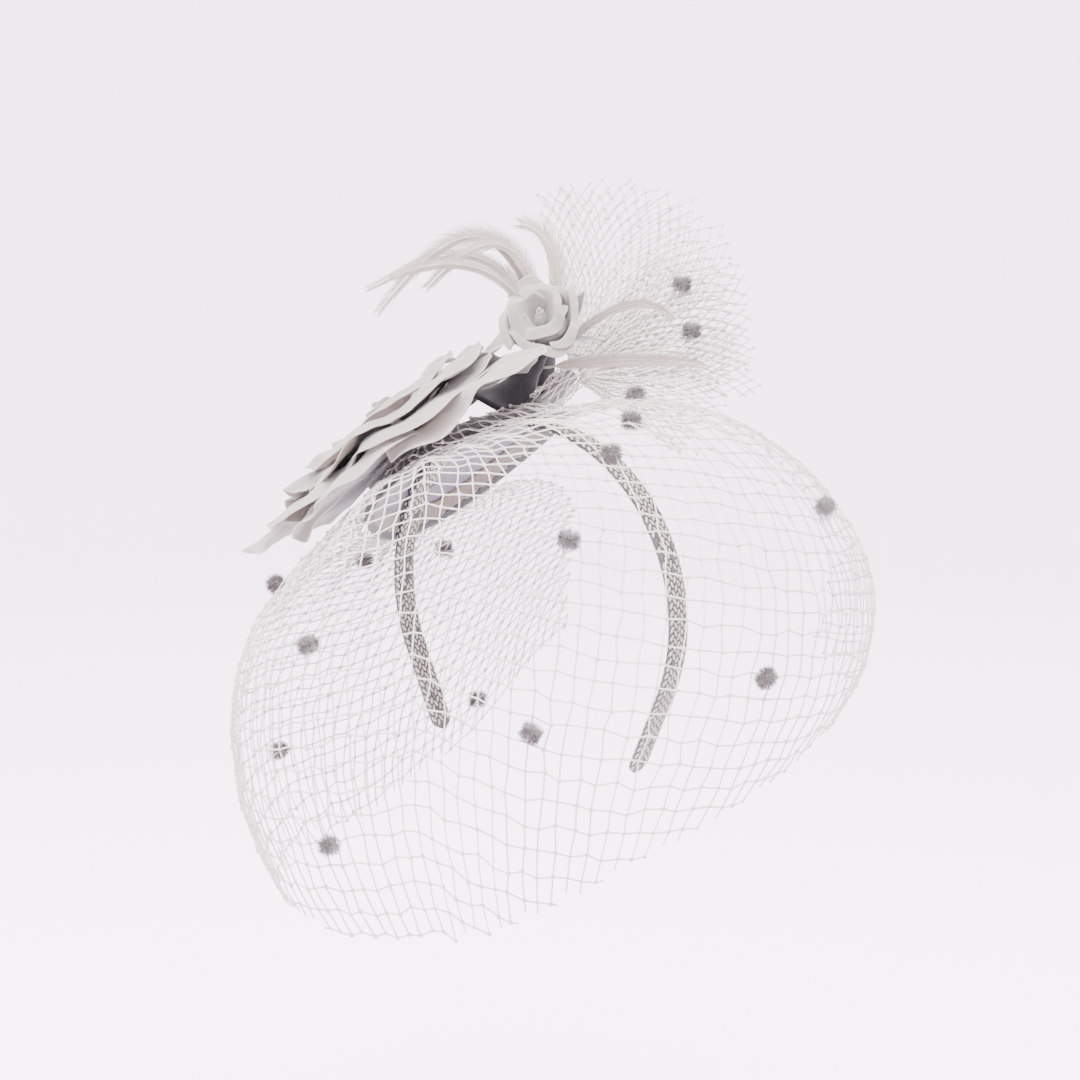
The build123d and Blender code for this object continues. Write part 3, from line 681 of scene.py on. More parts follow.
def braid_point(length, around, lift):
    """A point on the braid: along the band, round its section, and out from it."""
    end = BAND_MID_R * math.radians(BAND_ARC_HALF) + BAND_ARM
    length = max(-end + 0.2, min(end - 0.2, length))
    past = max(0.0, abs(length) - (end - BAND_TIP_R)) / BAND_TIP_R
    narrow = math.sqrt(max(0.02, 1.0 - past * past))
    shallow = math.sqrt(max(0.1, 1.0 - past ** 6))
    middle, _, out = band_frame(length)
    place = (around % 1.0) * len(SECTION)
    index = int(place) % len(SECTION)
    spot = SECTION[index].lerp(SECTION[(index + 1) % len(SECTION)], place - int(place))
    slope = Vector((spot.x / BAND_HALF_WIDE ** 2, spot.y / BAND_HALF_THICK ** 2)).normalized() * lift
    across = spot.x * narrow + slope.x
    return middle + Vector((0.0, across, 0.0)) + out * (spot.y * shallow + slope.y)


def braid_sleeve(start, end):
    """The dark ground of the braid, a closed sleeve of the band's section."""
    steps = round(abs(end - start) / SLEEVE_STEP)
    ground_cloth = cloth(steps, 26, lambda u, v: braid_point(start + (end - start) * u, v, 0.0))
    sleeve = close_seams(ground_cloth, 0.00008)
    ground = bpy.data.meshes.new("sleeve")
    sleeve.to_mesh(ground)
    sleeve.free()
    bm = bmesh.new()
    bm.from_mesh(ground)
    bpy.data.meshes.remove(ground)
    return bm


def braid_stitches(bm, start, end, long, draw, shapes):
    """Plump stitches in columns along the band, leaning left and right in turn."""
    count = int(abs(end - start) / STITCH_PITCH)
    sign = math.copysign(1.0, end - start)
    for column in range(STITCH_COLUMNS):
        side = 1.0 if column % 2 else -1.0
        for number in range(count):
            length = start + sign * STITCH_PITCH * (number + 0.25 + 0.5 * (column % 2))
            around = (column + 0.5) / STITCH_COLUMNS
            middle = braid_point(length, around, 0.12)
            ahead = braid_point(length + 0.5, around, 0.12) - braid_point(length - 0.5, around, 0.12)
            beside = braid_point(length, around + 0.01, 0.12) - braid_point(length, around - 0.01, 0.12)
            if ahead.length < 1e-4 or beside.length < 1e-4:
                continue
            way, across = ahead.normalized(), beside.normalized()
            lean = math.radians(STITCH_LEAN * side + draw.uniform(-4.0, 4.0))
            run = (way * math.cos(lean) + across * math.sin(lean)).normalized()
            out = run.cross(across if side > 0 else -across).normalized()
            turn = Matrix((run, out.cross(run).normalized(), out)).transposed().to_4x4()
            wide = STITCH_WIDE * GIRTH / STITCH_COLUMNS * draw.uniform(0.86, 1.0)
            size = Matrix.Diagonal((long / 2.0 * draw.uniform(0.92, 1.05), wide, 0.42, 1.0))
            before = len(bm.verts)
            bm.from_mesh(shapes[1 if draw.random() < 0.08 else 0])
            bm.verts.ensure_lookup_table()
            move = Matrix.Scale(MM, 4) @ Matrix.Translation(middle) @ turn @ size
            for vert in bm.verts[before:]:
                vert.co = move @ vert.co


class FASCINATOR_OT_headband(bpy.types.Operator):
    """Braid the band's two lengths and finish the spring strips inside them"""

    bl_idname = "fascinator.headband"
    bl_label = "Headband"

    def execute(self, context):
        sizes = context.scene.fascinator_sizes
        colours = context.scene.fascinator_colours
        finishes = (
            thread_finish("braid_dark_ground", darker(colours.braid_dark, 0.6), 0.6, 0.15),
            thread_finish("braid_pale_strand", tuple(colours.braid_light), 0.45, 0.15),
            thread_finish("braid_grey_strand", tuple(colours.braid_dark), 0.5, 0.15),
        )
        end = BAND_MID_R * math.radians(BAND_ARC_HALF) + BAND_ARM
        seam = BAND_MID_R * math.radians(BRAID_SEAM)
        lengths = (
            ("plain_side_braid", end, "plain_side_arm", PLAIN_HINGE, ("crown_braid", "plain_side_arm_braid")),
            ("flower_side_braid", -end, "flower_side_arm", FLOWER_HINGE,
             ("crown_braid", "flower_side_arm_braid")),
        )
        shapes = []
        for index in (1, 2):
            bm = bmesh.new()
            bmesh.ops.create_uvsphere(bm, u_segments=6, v_segments=5, radius=1.0,
                                      matrix=Matrix.Rotation(math.radians(90.0), 4, "Y"))
            for face in bm.faces:
                face.material_index = index
            shape = bpy.data.meshes.new("stitch")
            bm.to_mesh(shape)
            bm.free()
            shapes.append(shape)
        draw = random.Random(17)
        for name, stop, body, hinge, nodes in lengths:
            bm = braid_sleeve(seam, stop)
            braid_stitches(bm, seam, stop, sizes.stitch_long / MM, draw, shapes)
            braid = add_piece(name, bm, *finishes)
            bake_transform(braid)
            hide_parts(*nodes)
        for shape in shapes:
            bpy.data.meshes.remove(shape)
        steel = strip_finish()
        for node in ("crown_strip", "plain_side_arm_strip", "flower_side_arm_strip"):
            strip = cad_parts[node]
            strip.data.materials.clear()
            strip.data.materials.append(steel)
        return {"FINISHED"}


# --- base ---------------------------------------------------------------------------------------

def oval_cloth(radius, half_long, half_wide, steps, lift):
    """An oval of cloth that follows the head; lift(along, across) raises it."""

    def place(u, v):
        x, y = 2.0 * u - 1.0, 2.0 * v - 1.0
        along = half_long * x * math.sqrt(1.0 - y * y / 2.0)
        across = half_wide * y * math.sqrt(1.0 - x * x / 2.0)
        return base_point(radius + lift(along, across), along, across)

    return cloth(steps, steps, place)


def rim_turn(u):
    """The way round a rim, in radians, at a share of its length."""
    return 2.0 * math.pi * u


class FASCINATOR_OT_base(bpy.types.Operator):
    """Shape the oval base, its lining, ribbon, bound edge and stitches"""

    bl_idname = "fascinator.base"
    bl_label = "Base"

    def execute(self, context):
        colours = context.scene.fascinator_colours
        felt = felt_finish("blocked_black_felt", tuple(colours.felt))
        disc = add_piece(
            "felt_base",
            oval_cloth(BASE_R + 1.0, BASE_HALF_LONG, BASE_HALF_WIDE, 44,
                       lambda a, b: 0.12 * rough(Vector((a, b, 0.0)), 0.25)),
            felt,
        )
        thicken(disc, 0.0018)
        finish_piece(disc, "crown", "base_felt", "base_disc")

        # The third argument is the painted shade colour; the lining turns to it towards one side.
        lining_cloth = dyed_cloth("lilac_lining", tuple(colours.lining), darker(colours.lining, 0.8),
                                  roughness=0.6, sheen=0.3, scale=40.0, threads=900.0, creases=0.8)
        half_long, half_wide = BASE_HALF_LONG - LINING_SET_IN, BASE_HALF_WIDE - LINING_SET_IN

        def pucker(along, across):
            edge = (along / half_long) ** 2 + (across / half_wide) ** 2
            turn = math.atan2(across / half_wide, along / half_long)
            gathers = 0.14 * smooth_step(0.5, 1.0, edge) * math.sin(34.0 * turn)
            return gathers + 0.05 * rough(Vector((along, across, 3.0)), 0.12)

        lining_oval = oval_cloth(LINING_R + 0.2, half_long, half_wide, 60, pucker)
        lining = add_piece("crown_lining", lining_oval, lining_cloth)
        thicken(lining, 0.0003)
        finish_piece(lining, "crown", "lining", "base_lining")

        taupe = ribbed_finish("taupe_ribbed_ribbon", tuple(colours.ribbon))

        def ribbon_place(u, v):
            turn = rim_turn(u)
            inset = RIBBON_WIDE * v
            along = (half_long - inset) * math.cos(turn)
            across = (half_wide - inset) * math.sin(turn)
            fold = 0.12 * v * max(0.0, math.sin(26.0 * turn)) - 0.16 * v
            return base_point(RIBBON_R + 0.2 + fold, along, across)

        ribbon = add_piece("lining_edge_ribbon", close_seams(cloth(220, 6, ribbon_place)), taupe)
        thicken(ribbon, 0.0003)
        finish_piece(ribbon, "crown", "taupe_ribbon", "lining_ribbon")

        # The binding cloth, with painted shade towards its under side.
        edge_cloth = dyed_cloth("black_edge_binding", EDGE_CLOTH, EDGE_PAINTED_SHADE, roughness=0.6, sheen=0.3,
                                scale=80.0, threads=1400.0, creases=0.3)
        profile = (
            (-2.2, -0.9), (-0.6, -1.0), (0.7, -0.95), (1.5, -0.45), (1.75, 0.6), (1.75, 1.5), (1.5, 2.35),
            (0.7, 2.75), (-0.6, 2.72), (-2.2, 2.6),
        )

        def binding_place(u, v):
            turn = rim_turn(u)
            spot = v * (len(profile) - 1)
            index = min(int(spot), len(profile) - 2)
            share = spot - index
            out = profile[index][0] * (1 - share) + profile[index + 1][0] * share
            up = profile[index][1] * (1 - share) + profile[index + 1][1] * share
            ripple = 0.12 * math.sin(60.0 * turn + 2.0 * math.sin(3 * turn))
            along = (BASE_HALF_LONG + out + ripple) * math.cos(turn)
            across = (BASE_HALF_WIDE + out + ripple) * math.sin(turn)
            return base_point(BASE_R + up + ripple * 0.4, along, across)

        binding = add_piece("edge_binding", close_seams(cloth(240, 18, binding_place)), edge_cloth)
        thicken(binding, 0.0003)
        finish_piece(binding, "crown", "dark_binding", "base_binding")

        thread = thread_finish("dark_sewing_thread", SEWING_THREAD)
        bm = bmesh.new()
        for side in (-1, 1):
            for index in range(WHIP_STITCHES):
                angle = -68.0 + 64.0 * index / (WHIP_STITCHES - 1)
                points = []
                for step in range(9):
                    share = step / 8
                    turn = math.radians(angle + 2.6 * (share - 0.5))
                    reach = 74.7 + 3.9 * share
                    bulge = 0.55 * math.sin(math.pi * min(1.0, share * 1.1)) + 0.25
                    x = reach * math.sin(turn)
                    z = reach * math.cos(turn)
                    y = side * (BAND_HALF_WIDE - 0.9 + bulge + 0.9 * smooth_step(0.0, 0.35, share))
                    points.append(Vector((x, y, z)))
                tube(points, [0.24] * len(points), 6, bm)
        bmesh.ops.recalc_face_normals(bm, faces=bm.faces)
        stitches = add_piece("whip_stitches", bm, thread)
        finish_piece(stitches, "crown", "thread", "base_stitches")
        return {"FINISHED"}


# --- rose ---------------------------------------------------------------------------------------

def rose_lift(turn, radius):
    """How the whole rose dips towards the face and rises behind and at its long end."""
    return (radius / 80.0) ** 2 * (4.5 + 5.0 * math.cos(turn) - 8.0 * math.sin(turn))


def shared_wave(turn, radius):
    """The rise and fall that all of the rose's layers share, so that they nest."""
    return 0.55 * math.sin(5.0 * turn + 0.6 + 0.012 * radius) + 0.35 * math.sin(9.0 * turn + 2.1)


def petal_height(heights, share):
    """Height of a petal's bowed line at a share of its length."""
    root, middle, rim = heights
    return (
        root * 2.0 * (share - 0.5) * (share - 1.0)
        - middle * 4.0 * share * (share - 1.0)
        + rim * 2.0 * share * (share - 0.5)
    )


def petal_piece(name, layer, end_r, turn, half_angle, stand, wave, draw, material):
    """One cloth petal: a rounded sector, bowed, ruffled and folded over at its rim."""
    phase, second, third = (draw.uniform(0.0, 2.0 * math.pi) for _ in range(3))
    nick = draw.uniform(-0.5, 0.5)
    scallop = draw.uniform(0.03, 0.06)
    droop = draw.uniform(2.5, 5.0)
    heights = ROSE_LAYERS[layer][1]
    below = ROSE_LAYERS[max(0, layer - 1)]
    below_r = sum(petal[1] for petal in below[2]) / len(below[2])

    def place(u, v):
        side = 2.0 * u - 1.0
        rounding = 0.24 * abs(side) ** 2.8 + 0.05 * math.exp(-((side - nick) / 0.10) ** 2)
        reach = 1.0 - rounding * v ** 1.5 + scallop * v * v * math.sin(5.0 * side + phase)
        share = v * reach
        radius = ROSE_ROOT_R + (end_r - ROSE_ROOT_R) * share
        spread = 0.62 + 0.52 * smooth_step(0.0, 0.62, v)
        angle = math.radians(turn + half_angle * spread * side)
        height = petal_height(heights, share) + rose_lift(angle, radius) + stand * share * share
        grown = smooth_step(0.25, 1.0, v)
        own = (
            0.40 * math.sin(4.4 * side + phase + 1.4 * v)
            + 0.36 * math.sin(8.5 * side + second - 2.0 * v)
            + 0.26 * smooth_step(0.55, 1.0, v) * math.sin(17.0 * side + third)
        )
        shared = 0.95 * smooth_step(12.0, 55.0, radius) * shared_wave(angle, radius)
        height += wave * (shared + grown ** 1.4 * own)
        angle += math.radians(3.2 * grown * math.sin(6.0 * side + second))
        height += 1.1 * side * smooth_step(0.0, 0.4, v)
        fold = smooth_step(0.62, 1.0, v)
        towards_face = 0.5 + 0.5 * math.sin(angle)
        height -= droop * fold * fold * (0.3 + 1.0 * towards_face)
        radius -= 0.30 * droop * fold ** 3 * towards_face
        edge = smooth_step(0.8, 1.0, abs(side)) * smooth_step(0.25, 0.6, v)
        height -= 1.6 * edge * edge
        if layer:
            under = petal_height(below[1], min(1.0, (radius - ROSE_ROOT_R) / (below_r - ROSE_ROOT_R)))
            shared = 0.95 * smooth_step(12.0, 55.0, radius) * shared_wave(angle, radius)
            under += rose_lift(angle, radius) + wave * shared
            under += 1.2 + 0.8 * math.sin(7.0 * side + second)
            lie = 0.8 * smooth_step(0.45, 0.95, v) * smooth_step(0.45, 0.85, towards_face)
            height += (under - height) * lie
        spot = ROSE_TURN @ Vector((radius * math.cos(angle), radius * math.sin(angle), height))
        crumple = rough(spot, 0.09, phase) + 0.45 * rough(spot, 0.24, second)
        return spot + ROSE_AXIS * (grown * crumple)

    petal = add_piece(name, cloth(30, 30, place), material)
    return refine(petal)


class FASCINATOR_OT_rose(bpy.types.Operator):
    """Cut, wave and layer the rose's petals on their felt core"""

    bl_idname = "fascinator.rose"
    bl_label = "Rose"

    def execute(self, context):
        sizes = context.scene.fascinator_sizes
        colours = context.scene.fascinator_colours
        # The rose's cloth: its lit colour, with rose_shade as painted shade towards the petals' roots.
        petal_cloth = dyed_cloth("rose_petal_cloth", tuple(colours.rose), tuple(colours.rose_shade))
        draw = random.Random(11)
        wave = sizes.petal_wave / MM
        for layer, (layer_name, _, petals) in enumerate(ROSE_LAYERS):
            for index, (turn, end_r, half_angle, stand) in enumerate(petals):
                name = f"{layer_name}_{index + 1}"
                petal = petal_piece(
                    f"rose_{name}", layer, end_r, turn, half_angle, stand, wave, draw, petal_cloth
                )
                thicken(petal, sizes.petal_cloth)
                finish_piece(petal, "crown", "rose_fabric", name)

        # Felt in the petals' painted shade tone.
        felt = felt_finish("rose_felt", ROSE_FELT_SHADE_TONE)
        backing = bmesh.new()
        bmesh.ops.create_circle(backing, segments=64, radius=25.5 * MM, cap_ends=True)
        made = bmesh.ops.extrude_face_region(backing, geom=backing.faces[:])
        top = [part for part in made["geom"] if isinstance(part, bmesh.types.BMVert)]
        bmesh.ops.translate(backing, vec=(0.0, 0.0, 1.1 * MM), verts=top)
        bmesh.ops.recalc_face_normals(backing, faces=backing.faces)
        bmesh.ops.transform(backing, matrix=ROSE_TURN.to_4x4() @ Matrix.Translation((0.0, 0.0, 82.0 * MM)),
                            verts=backing.verts)
        pad = add_piece("rose_felt_backing", backing, felt, smooth=False)
        finish_piece(pad, "crown", "dark_felt", "rose_backing")

        points = [ROSE_TURN @ Vector((0.0, 0.0, 83.4 + 14.4 * step / 12)) for step in range(13)]
        radii = [7.6 + 0.25 * math.sin(2.4 * step) for step in range(13)]
        core = add_piece("rose_core_roll", tube(points, radii, 32), felt)
        finish_piece(core, "crown", "dark_felt", "rose_felt_core")

        def bud_place(u, v):
            turn = 2.0 * math.pi * 2.6 * u
            radius = 1.2 + 6.6 * u + 0.9 * v * v + 0.5 * math.sin(1.7 * turn + 3.0 * v)
            height = 98.3 + (11.0 - 3.0 * u) * v + 0.8 * v * math.sin(1.6 * turn)
            return ROSE_TURN @ Vector((radius * math.cos(turn), radius * math.sin(turn), height))

        bud = refine(add_piece("rose_rolled_bud", cloth(120, 8, bud_place), petal_cloth))
        thicken(bud, sizes.petal_cloth)
        finish_piece(bud, "crown", "rose_fabric", "rose_bud")
        return {"FINISHED"}


# --- rosette and leaves -------------------------------------------------------------------------

def cup_petal(name, profile, turn, half_angle, draw, material):
    """A cupped petal that stands up and rolls its lip; profile runs from its root to its rim."""
    phase, second = draw.uniform(0.0, 2.0 * math.pi), draw.uniform(0.0, 2.0 * math.pi)
    last = len(profile) - 1

    def place(u, v):
        side = 2.0 * u - 1.0
        share = v * (1.0 - 0.16 * abs(side) ** 2.4)
        spot = share * last
        index = min(int(spot), last - 1)
        radius, height = (a + (b - a) * (spot - index) for a, b in zip(profile[index], profile[index + 1]))
        lip = smooth_step(0.78, 1.0, v)
        radius += 2.4 * lip * lip + 1.5 * v * math.sin(3.6 * side + phase) + 1.1 * side * v
        height += 2.2 * v * v * math.sin(3.0 * side + second) + 0.9 * v * v * math.sin(8.0 * side + phase)
        height -= 2.6 * lip * lip
        angle = math.radians(turn + half_angle * (0.72 + 0.6 * smooth_step(0.0, 0.6, v)) * side)
        behind = (ROSETTE_TURN @ Vector((math.cos(angle), math.sin(angle), 0.0))).dot(ROSETTE_BACK)
        height += v * v * (5.0 * behind - 1.0 - 3.5 * smooth_step(0.1, 0.9, -behind))
        radius += 1.8 * v * v * smooth_step(0.1, 0.9, -behind)
        point = Vector((radius * math.cos(angle), radius * math.sin(angle), height))
        spot = ROSETTE_CENTRE + ROSETTE_TURN @ point
        return spot + ROSETTE_AXIS * (1.5 * v * rough(spot, 0.2, phase))

    return refine(add_piece(name, cloth(20, 22, place), material))


def leaf_cloth(root, bend, tip, wide):
    """A pointed leaf, folded a little along its middle."""
    root, bend, tip = Vector(root), Vector(bend), Vector(tip)
    face = (tip - root).cross(bend - root).normalized()
    face = Matrix.Rotation(math.radians(LEAF_TWIST), 3, (tip - root).normalized()) @ face

    def place(u, v):
        side = 2.0 * u - 1.0
        middle = bow_point(root, bend, tip, v)
        out = face.cross(bow_way(root, bend, tip, v)).normalized()
        half = wide / 2.0 * math.sin(math.pi * min(0.999, 0.04 + 0.96 * v) ** 0.8) ** 0.8 + 0.15
        fold = 0.9 * abs(side) * math.sin(math.pi * v)
        return middle + out * (half * side) + face * (fold + 0.25 * math.sin(9.0 * v + 3.0 * side))

    return cloth(12, 24, place)


class FASCINATOR_OT_rosette(bpy.types.Operator):
    """Fold the small rosette on its felt stem, with its two leaves"""

    bl_idname = "fascinator.rosette"
    bl_label = "Rosette"

    def execute(self, context):
        sizes = context.scene.fascinator_sizes
        colours = context.scene.fascinator_colours
        # The third argument is the painted shade colour; the petals turn to it towards their roots.
        petal_cloth = dyed_cloth("rosette_cloth", tuple(colours.rosette), darker(colours.rosette, 0.62),
                                 creases=0.7)
        draw = random.Random(5)
        # ring, petals, first turn, spread, flat length, and the radius and height of points from root to rim
        rings = (
            ("rosette_outer_petal", 4, 20.0, 1.05, 26.0,
             ((5.0, -13.5), (8.9, -9.4), (11.2, -5.0), (13.0, -0.5), (14.2, 4.5), (15.2, 8.5))),
            ("rosette_inner_petal", 3, 75.0, 1.2, 17.0,
             ((3.2, -1.4), (5.2, 0.6), (6.8, 3.4), (8.2, 7.0), (9.6, 10.4))),
        )
        for ring, count, first, spread, long, profile in rings:
            for index in range(count):
                pitch = 360.0 / count
                petal = cup_petal(
                    f"folded_{ring}_{index + 1}", profile, first + index * pitch, pitch / 2.0 * spread,
                    draw, petal_cloth
                )
                thicken(petal, sizes.petal_cloth)
                finish_piece(petal, "crown", "rosette_fabric", f"{ring}_{index + 1}")
                wide = 2.3 * profile[-1][0] * math.sin(math.radians(min(80.0, pitch / 2.0 * spread)))

        def heart_place(u, v):
            turn = 2.0 * math.pi * 1.9 * u
            radius = (0.6 + 2.6 * u) * (1.0 + 0.35 * v * math.cos(2.0 * turn + 3.0)) + 0.35 * v
            radius *= 1.0 - 0.45 * v ** 3
            height = -6.5 + (13.0 - 3.0 * u) * v + 0.4 * v * math.sin(6.0 * turn)
            point = Vector((radius * math.cos(turn), radius * math.sin(turn), height))
            return ROSETTE_CENTRE + ROSETTE_TURN @ point

        heart = refine(add_piece("rosette_rolled_heart", cloth(60, 10, heart_place), petal_cloth))
        thicken(heart, 0.0004)
        finish_piece(heart, "crown", "rosette_fabric", "rosette_heart")

        felt = felt_finish("stem_felt", STEM_FELT)
        foot = base_point(BASE_R + BASE_THICK + 0.4, *ROSETTE_FOOT)
        top = ROSETTE_CENTRE + ROSETTE_AXIS * -9.0
        count = 14
        points = [foot.lerp(top, step / count) for step in range(count + 1)]
        radii = [
            6.3 - 1.9 * step / count + 14.0 * (1.0 - step / count) ** 5 + 0.22 * math.sin(2.2 * step)
            for step in range(count + 1)
        ]
        stem = add_piece("rosette_felt_stem", tube(points, radii, 28), felt)
        finish_piece(stem, "crown", "dark_felt", "rosette_stem")
        rise = (-15.0, -14.0, -11.0, -8.0, -5.0, -3.0, -2.0)
        spread = (4.9, 6.0, 7.6, 8.8, 10.0, 10.6, 9.0)
        points = [ROSETTE_CENTRE + ROSETTE_AXIS * height for height in rise]
        calyx = add_piece("rosette_felt_calyx", tube(points, list(spread), 32), petal_cloth)
        finish_piece(calyx, "crown", "dark_felt", "rosette_calyx")

        # The third argument is the painted shade colour; the leaves turn to it towards their roots.
        leaf_finish = dyed_cloth("leaf_cloth", tuple(colours.leaf), darker(colours.leaf, 0.7), 0.7, 0.2)
        for index, (root, bend, tip, wide) in enumerate(LEAVES):
            flat_leaf = leaf_cloth(root, bend, tip, wide)
            leaf = refine(add_piece(f"cloth_leaf_{index + 1}", flat_leaf, leaf_finish))
            thicken(leaf, 0.0004)
            finish_piece(leaf, "crown", "leaf_fabric", f"leaf_{index + 1}")
            long = (Vector(tip) - Vector(root)).length * 1.05 * MM
        return {"FINISHED"}


# --- feathers -----------------------------------------------------------------------------------

def feather_piece(name, root, bend, tip, wide, gap, draw, material):
    """A quill with barbs that sweep towards its tip, close together and split at the end."""
    root, bend, tip = Vector(root), Vector(bend), Vector(tip)
    face = (tip - root).cross(bend - root).normalized()
    rings = 26
    points = [bow_point(root, bend, tip, step / rings) for step in range(rings + 1)]
    radii = [0.62 * (1.0 - 0.86 * step / rings) for step in range(rings + 1)]
    bm = bmesh.new()
    bm.loops.layers.uv.new("cloth_uv")
    tube(points, radii, 6, bm)
    bmesh.ops.recalc_face_normals(bm, faces=bm.faces)
    length = sum((after - before).length for before, after in zip(points, points[1:]))
    count = int(length * 0.9 / gap)
    for side in (-1.0, 1.0):
        for number in range(count):
            start = 0.08 + 0.92 * (number + draw.uniform(-0.3, 0.3)) / count
            start = min(max(start, 0.05), 0.985)
            fullness = math.sin(math.pi * min(1.0, 0.06 + 0.94 * start) ** 0.8) ** 0.6
            reach = wide * (0.3 + 1.15 * fullness) * (1.0 + 0.12 * draw.uniform(-1.0, 1.0))
            stray = draw.random() < 0.03 + 0.10 * smooth_step(0.7, 1.0, start)
            sweep = math.radians(25.0 + 3.0 * draw.random() + (11.0 if stray else 0.0))
            droop = draw.uniform(-0.4, 0.4) + (draw.uniform(-1.6, 1.6) if stray else 0.0)
            way = bow_way(root, bend, tip, start)
            out = face.cross(way) * side
            base = bow_point(root, bend, tip, start)
            half = 0.5 * gap * BARB_FULL

            def place(u, v):
                turn = sweep * (1.0 - 0.38 * u)
                spot = base + out * (reach * u * math.sin(turn) + 0.3) + way * (reach * u * math.cos(turn))
                spot += face * (droop * u * u + 0.35 * math.sin(2.0 * u))
                return spot + way * ((v - 0.5) * 2.0 * half * (1.0 - 0.8 * u))

            cloth(4, 1, place, bm)
    return add_piece(name, bm, material)


def bound_stem(foot, top, foot_r, top_r, wraps):
    """A stem wrapped in thread, each turn of it a small ridge."""
    count = wraps * 2
    points = [foot.lerp(top, step / count) for step in range(count + 1)]
    radii = [
        foot_r + (top_r - foot_r) * step / count + (0.16 if step % 2 else -0.1) for step in range(count + 1)
    ]
    return tube(points, radii, 24)


class FASCINATOR_OT_feathers(bpy.types.Operator):
    """Bind the curled feathers and the two side feathers"""

    bl_idname = "fascinator.feathers"
    bl_label = "Feathers"

    def execute(self, context):
        sizes = context.scene.fascinator_sizes
        colours = context.scene.fascinator_colours
        finish = feather_finish("pale_feather", tuple(colours.feather))
        draw = random.Random(23)
        gap = sizes.barb_gap / MM
        way = (FEATHER_STEM_TOP - base_point(BASE_R, *FEATHER_FOOT)).normalized()
        for index, (offset, bend, tip, wide) in enumerate(FEATHERS):
            root = FEATHER_STEM_TOP + Vector(offset) + way
            feather = feather_piece(f"curled_feather_{index + 1}", root, bend, tip, wide, gap, draw, finish)
            finish_piece(feather, "crown", "feather", f"feather_{index + 1}")
        for index, (root, bend, tip, wide) in enumerate(SIDE_FEATHERS):
            feather = feather_piece(f"trailing_feather_{index + 1}", root, bend, tip, wide, gap, draw, finish)
            finish_piece(feather, "crown", "feather", f"side_feather_{index + 1}")
        thread = thread_finish("binding_thread", BINDING_THREAD)
        foot = base_point(BASE_R + BASE_THICK + 0.3, *FEATHER_FOOT)
        stem = add_piece("feather_bound_stem", bound_stem(foot, FEATHER_STEM_TOP, 4.1, 3.5, 26), thread)
        finish_piece(stem, "crown", "thread", "feather_binding")
        return {"FINISHED"}


# --- veiling ------------------------------------------------------------------------------------

def station_between(angle):
    """Shoulder, belly and hem of the veil at any angle, on a smooth line."""
    angles = [station[0] for station in VEIL_STATIONS]
    index = max(i for i in range(len(angles) - 1) if angles[i] <= angle or i == 0)
    share = (angle - angles[index]) / (angles[index + 1] - angles[index])
    last = len(angles) - 1
    before, here, after, beyond = (VEIL_STATIONS[min(max(index + k, 0), last)][1:] for k in (-1, 0, 1, 2))
    values = []
    for a, b, c, d in zip(before, here, after, beyond):
        bend = (2 * a - 5 * b + 4 * c - d) * share ** 2 + (3 * b - a - 3 * c + d) * share ** 3
        values.append(b + ((c - a) * share + bend) / 2)
    return values


def veil_point(angle, share):
    """A point of the veil, a share of the way from its gathered edge to its hem."""
    turn = math.radians(angle)
    out = Vector((math.sin(turn), -math.cos(turn), 0.0))
    top = base_point(
        BASE_R + 0.5,
        (BASE_HALF_LONG + VEIL_TOP_OUT) * math.sin(turn),
        -(BASE_HALF_WIDE + VEIL_TOP_OUT) * math.cos(turn),
    )
    station = station_between(angle)
    knots = [top] + [out * station[k] + Vector((0.0, 0.0, station[k + 1])) for k in (0, 2, 4)]
    s = share
    weights = (
        -4.5 * (s - 1 / 3) * (s - 2 / 3) * (s - 1),
        13.5 * s * (s - 2 / 3) * (s - 1),
        -13.5 * s * (s - 1 / 3) * (s - 1),
        4.5 * s * (s - 1 / 3) * (s - 2 / 3),
    )
    total = Vector()
    for knot, weight in zip(knots, weights):
        total += knot * weight
    return total


def veil_place(u, v):
    """The veil's net: sewn over the base's edge, gathered in pleats that open out towards the hem."""
    angle = VEIL_FIRST + VEIL_SPREAD * u
    turn = 2.0 * math.pi * u
    if v < VEIL_SEWN:
        inset = 13.0 * (1.0 - v / VEIL_SEWN) - 1.0
        way = math.radians(angle)
        along = (BASE_HALF_LONG + VEIL_TOP_OUT - inset) * math.sin(way)
        across = -(BASE_HALF_WIDE + VEIL_TOP_OUT - inset) * math.cos(way)
        rise = BASE_THICK + 1.5 + 0.5 * math.sin(31.0 * turn)
        return base_point(BASE_R + rise, along, across)
    v = (v - VEIL_SEWN) / (1.0 - VEIL_SEWN)
    spot = veil_point(angle, v)
    out = Vector((spot.x, spot.y, 0.35 * spot.z)).normalized()
    pleat = 2.8 * (1.0 - v) ** 1.6 * smooth_step(0.0, 0.12, v)
    pleat *= math.sin(19.0 * turn + 1.3 * math.sin(5.0 * turn))
    billow = 2.0 * math.sin(math.pi * v) * math.sin(4.0 * turn + 2.0 * v + 0.8)
    ragged = 1.1 * rough(spot, 0.07, 9.0)
    edge = spot.normalized() * 1.6 * (1.0 - smooth_step(0.0, 0.06, v))
    return spot + out * (pleat + billow + ragged + 0.4) + edge


def fan_edge(share):
    """The fan's outer radius at a share of its spread."""
    place = share * (len(FAN_RADII) - 1)
    index = min(max(int(place), 0), len(FAN_RADII) - 2)
    return FAN_RADII[index] + (FAN_RADII[index + 1] - FAN_RADII[index]) * (place - index)


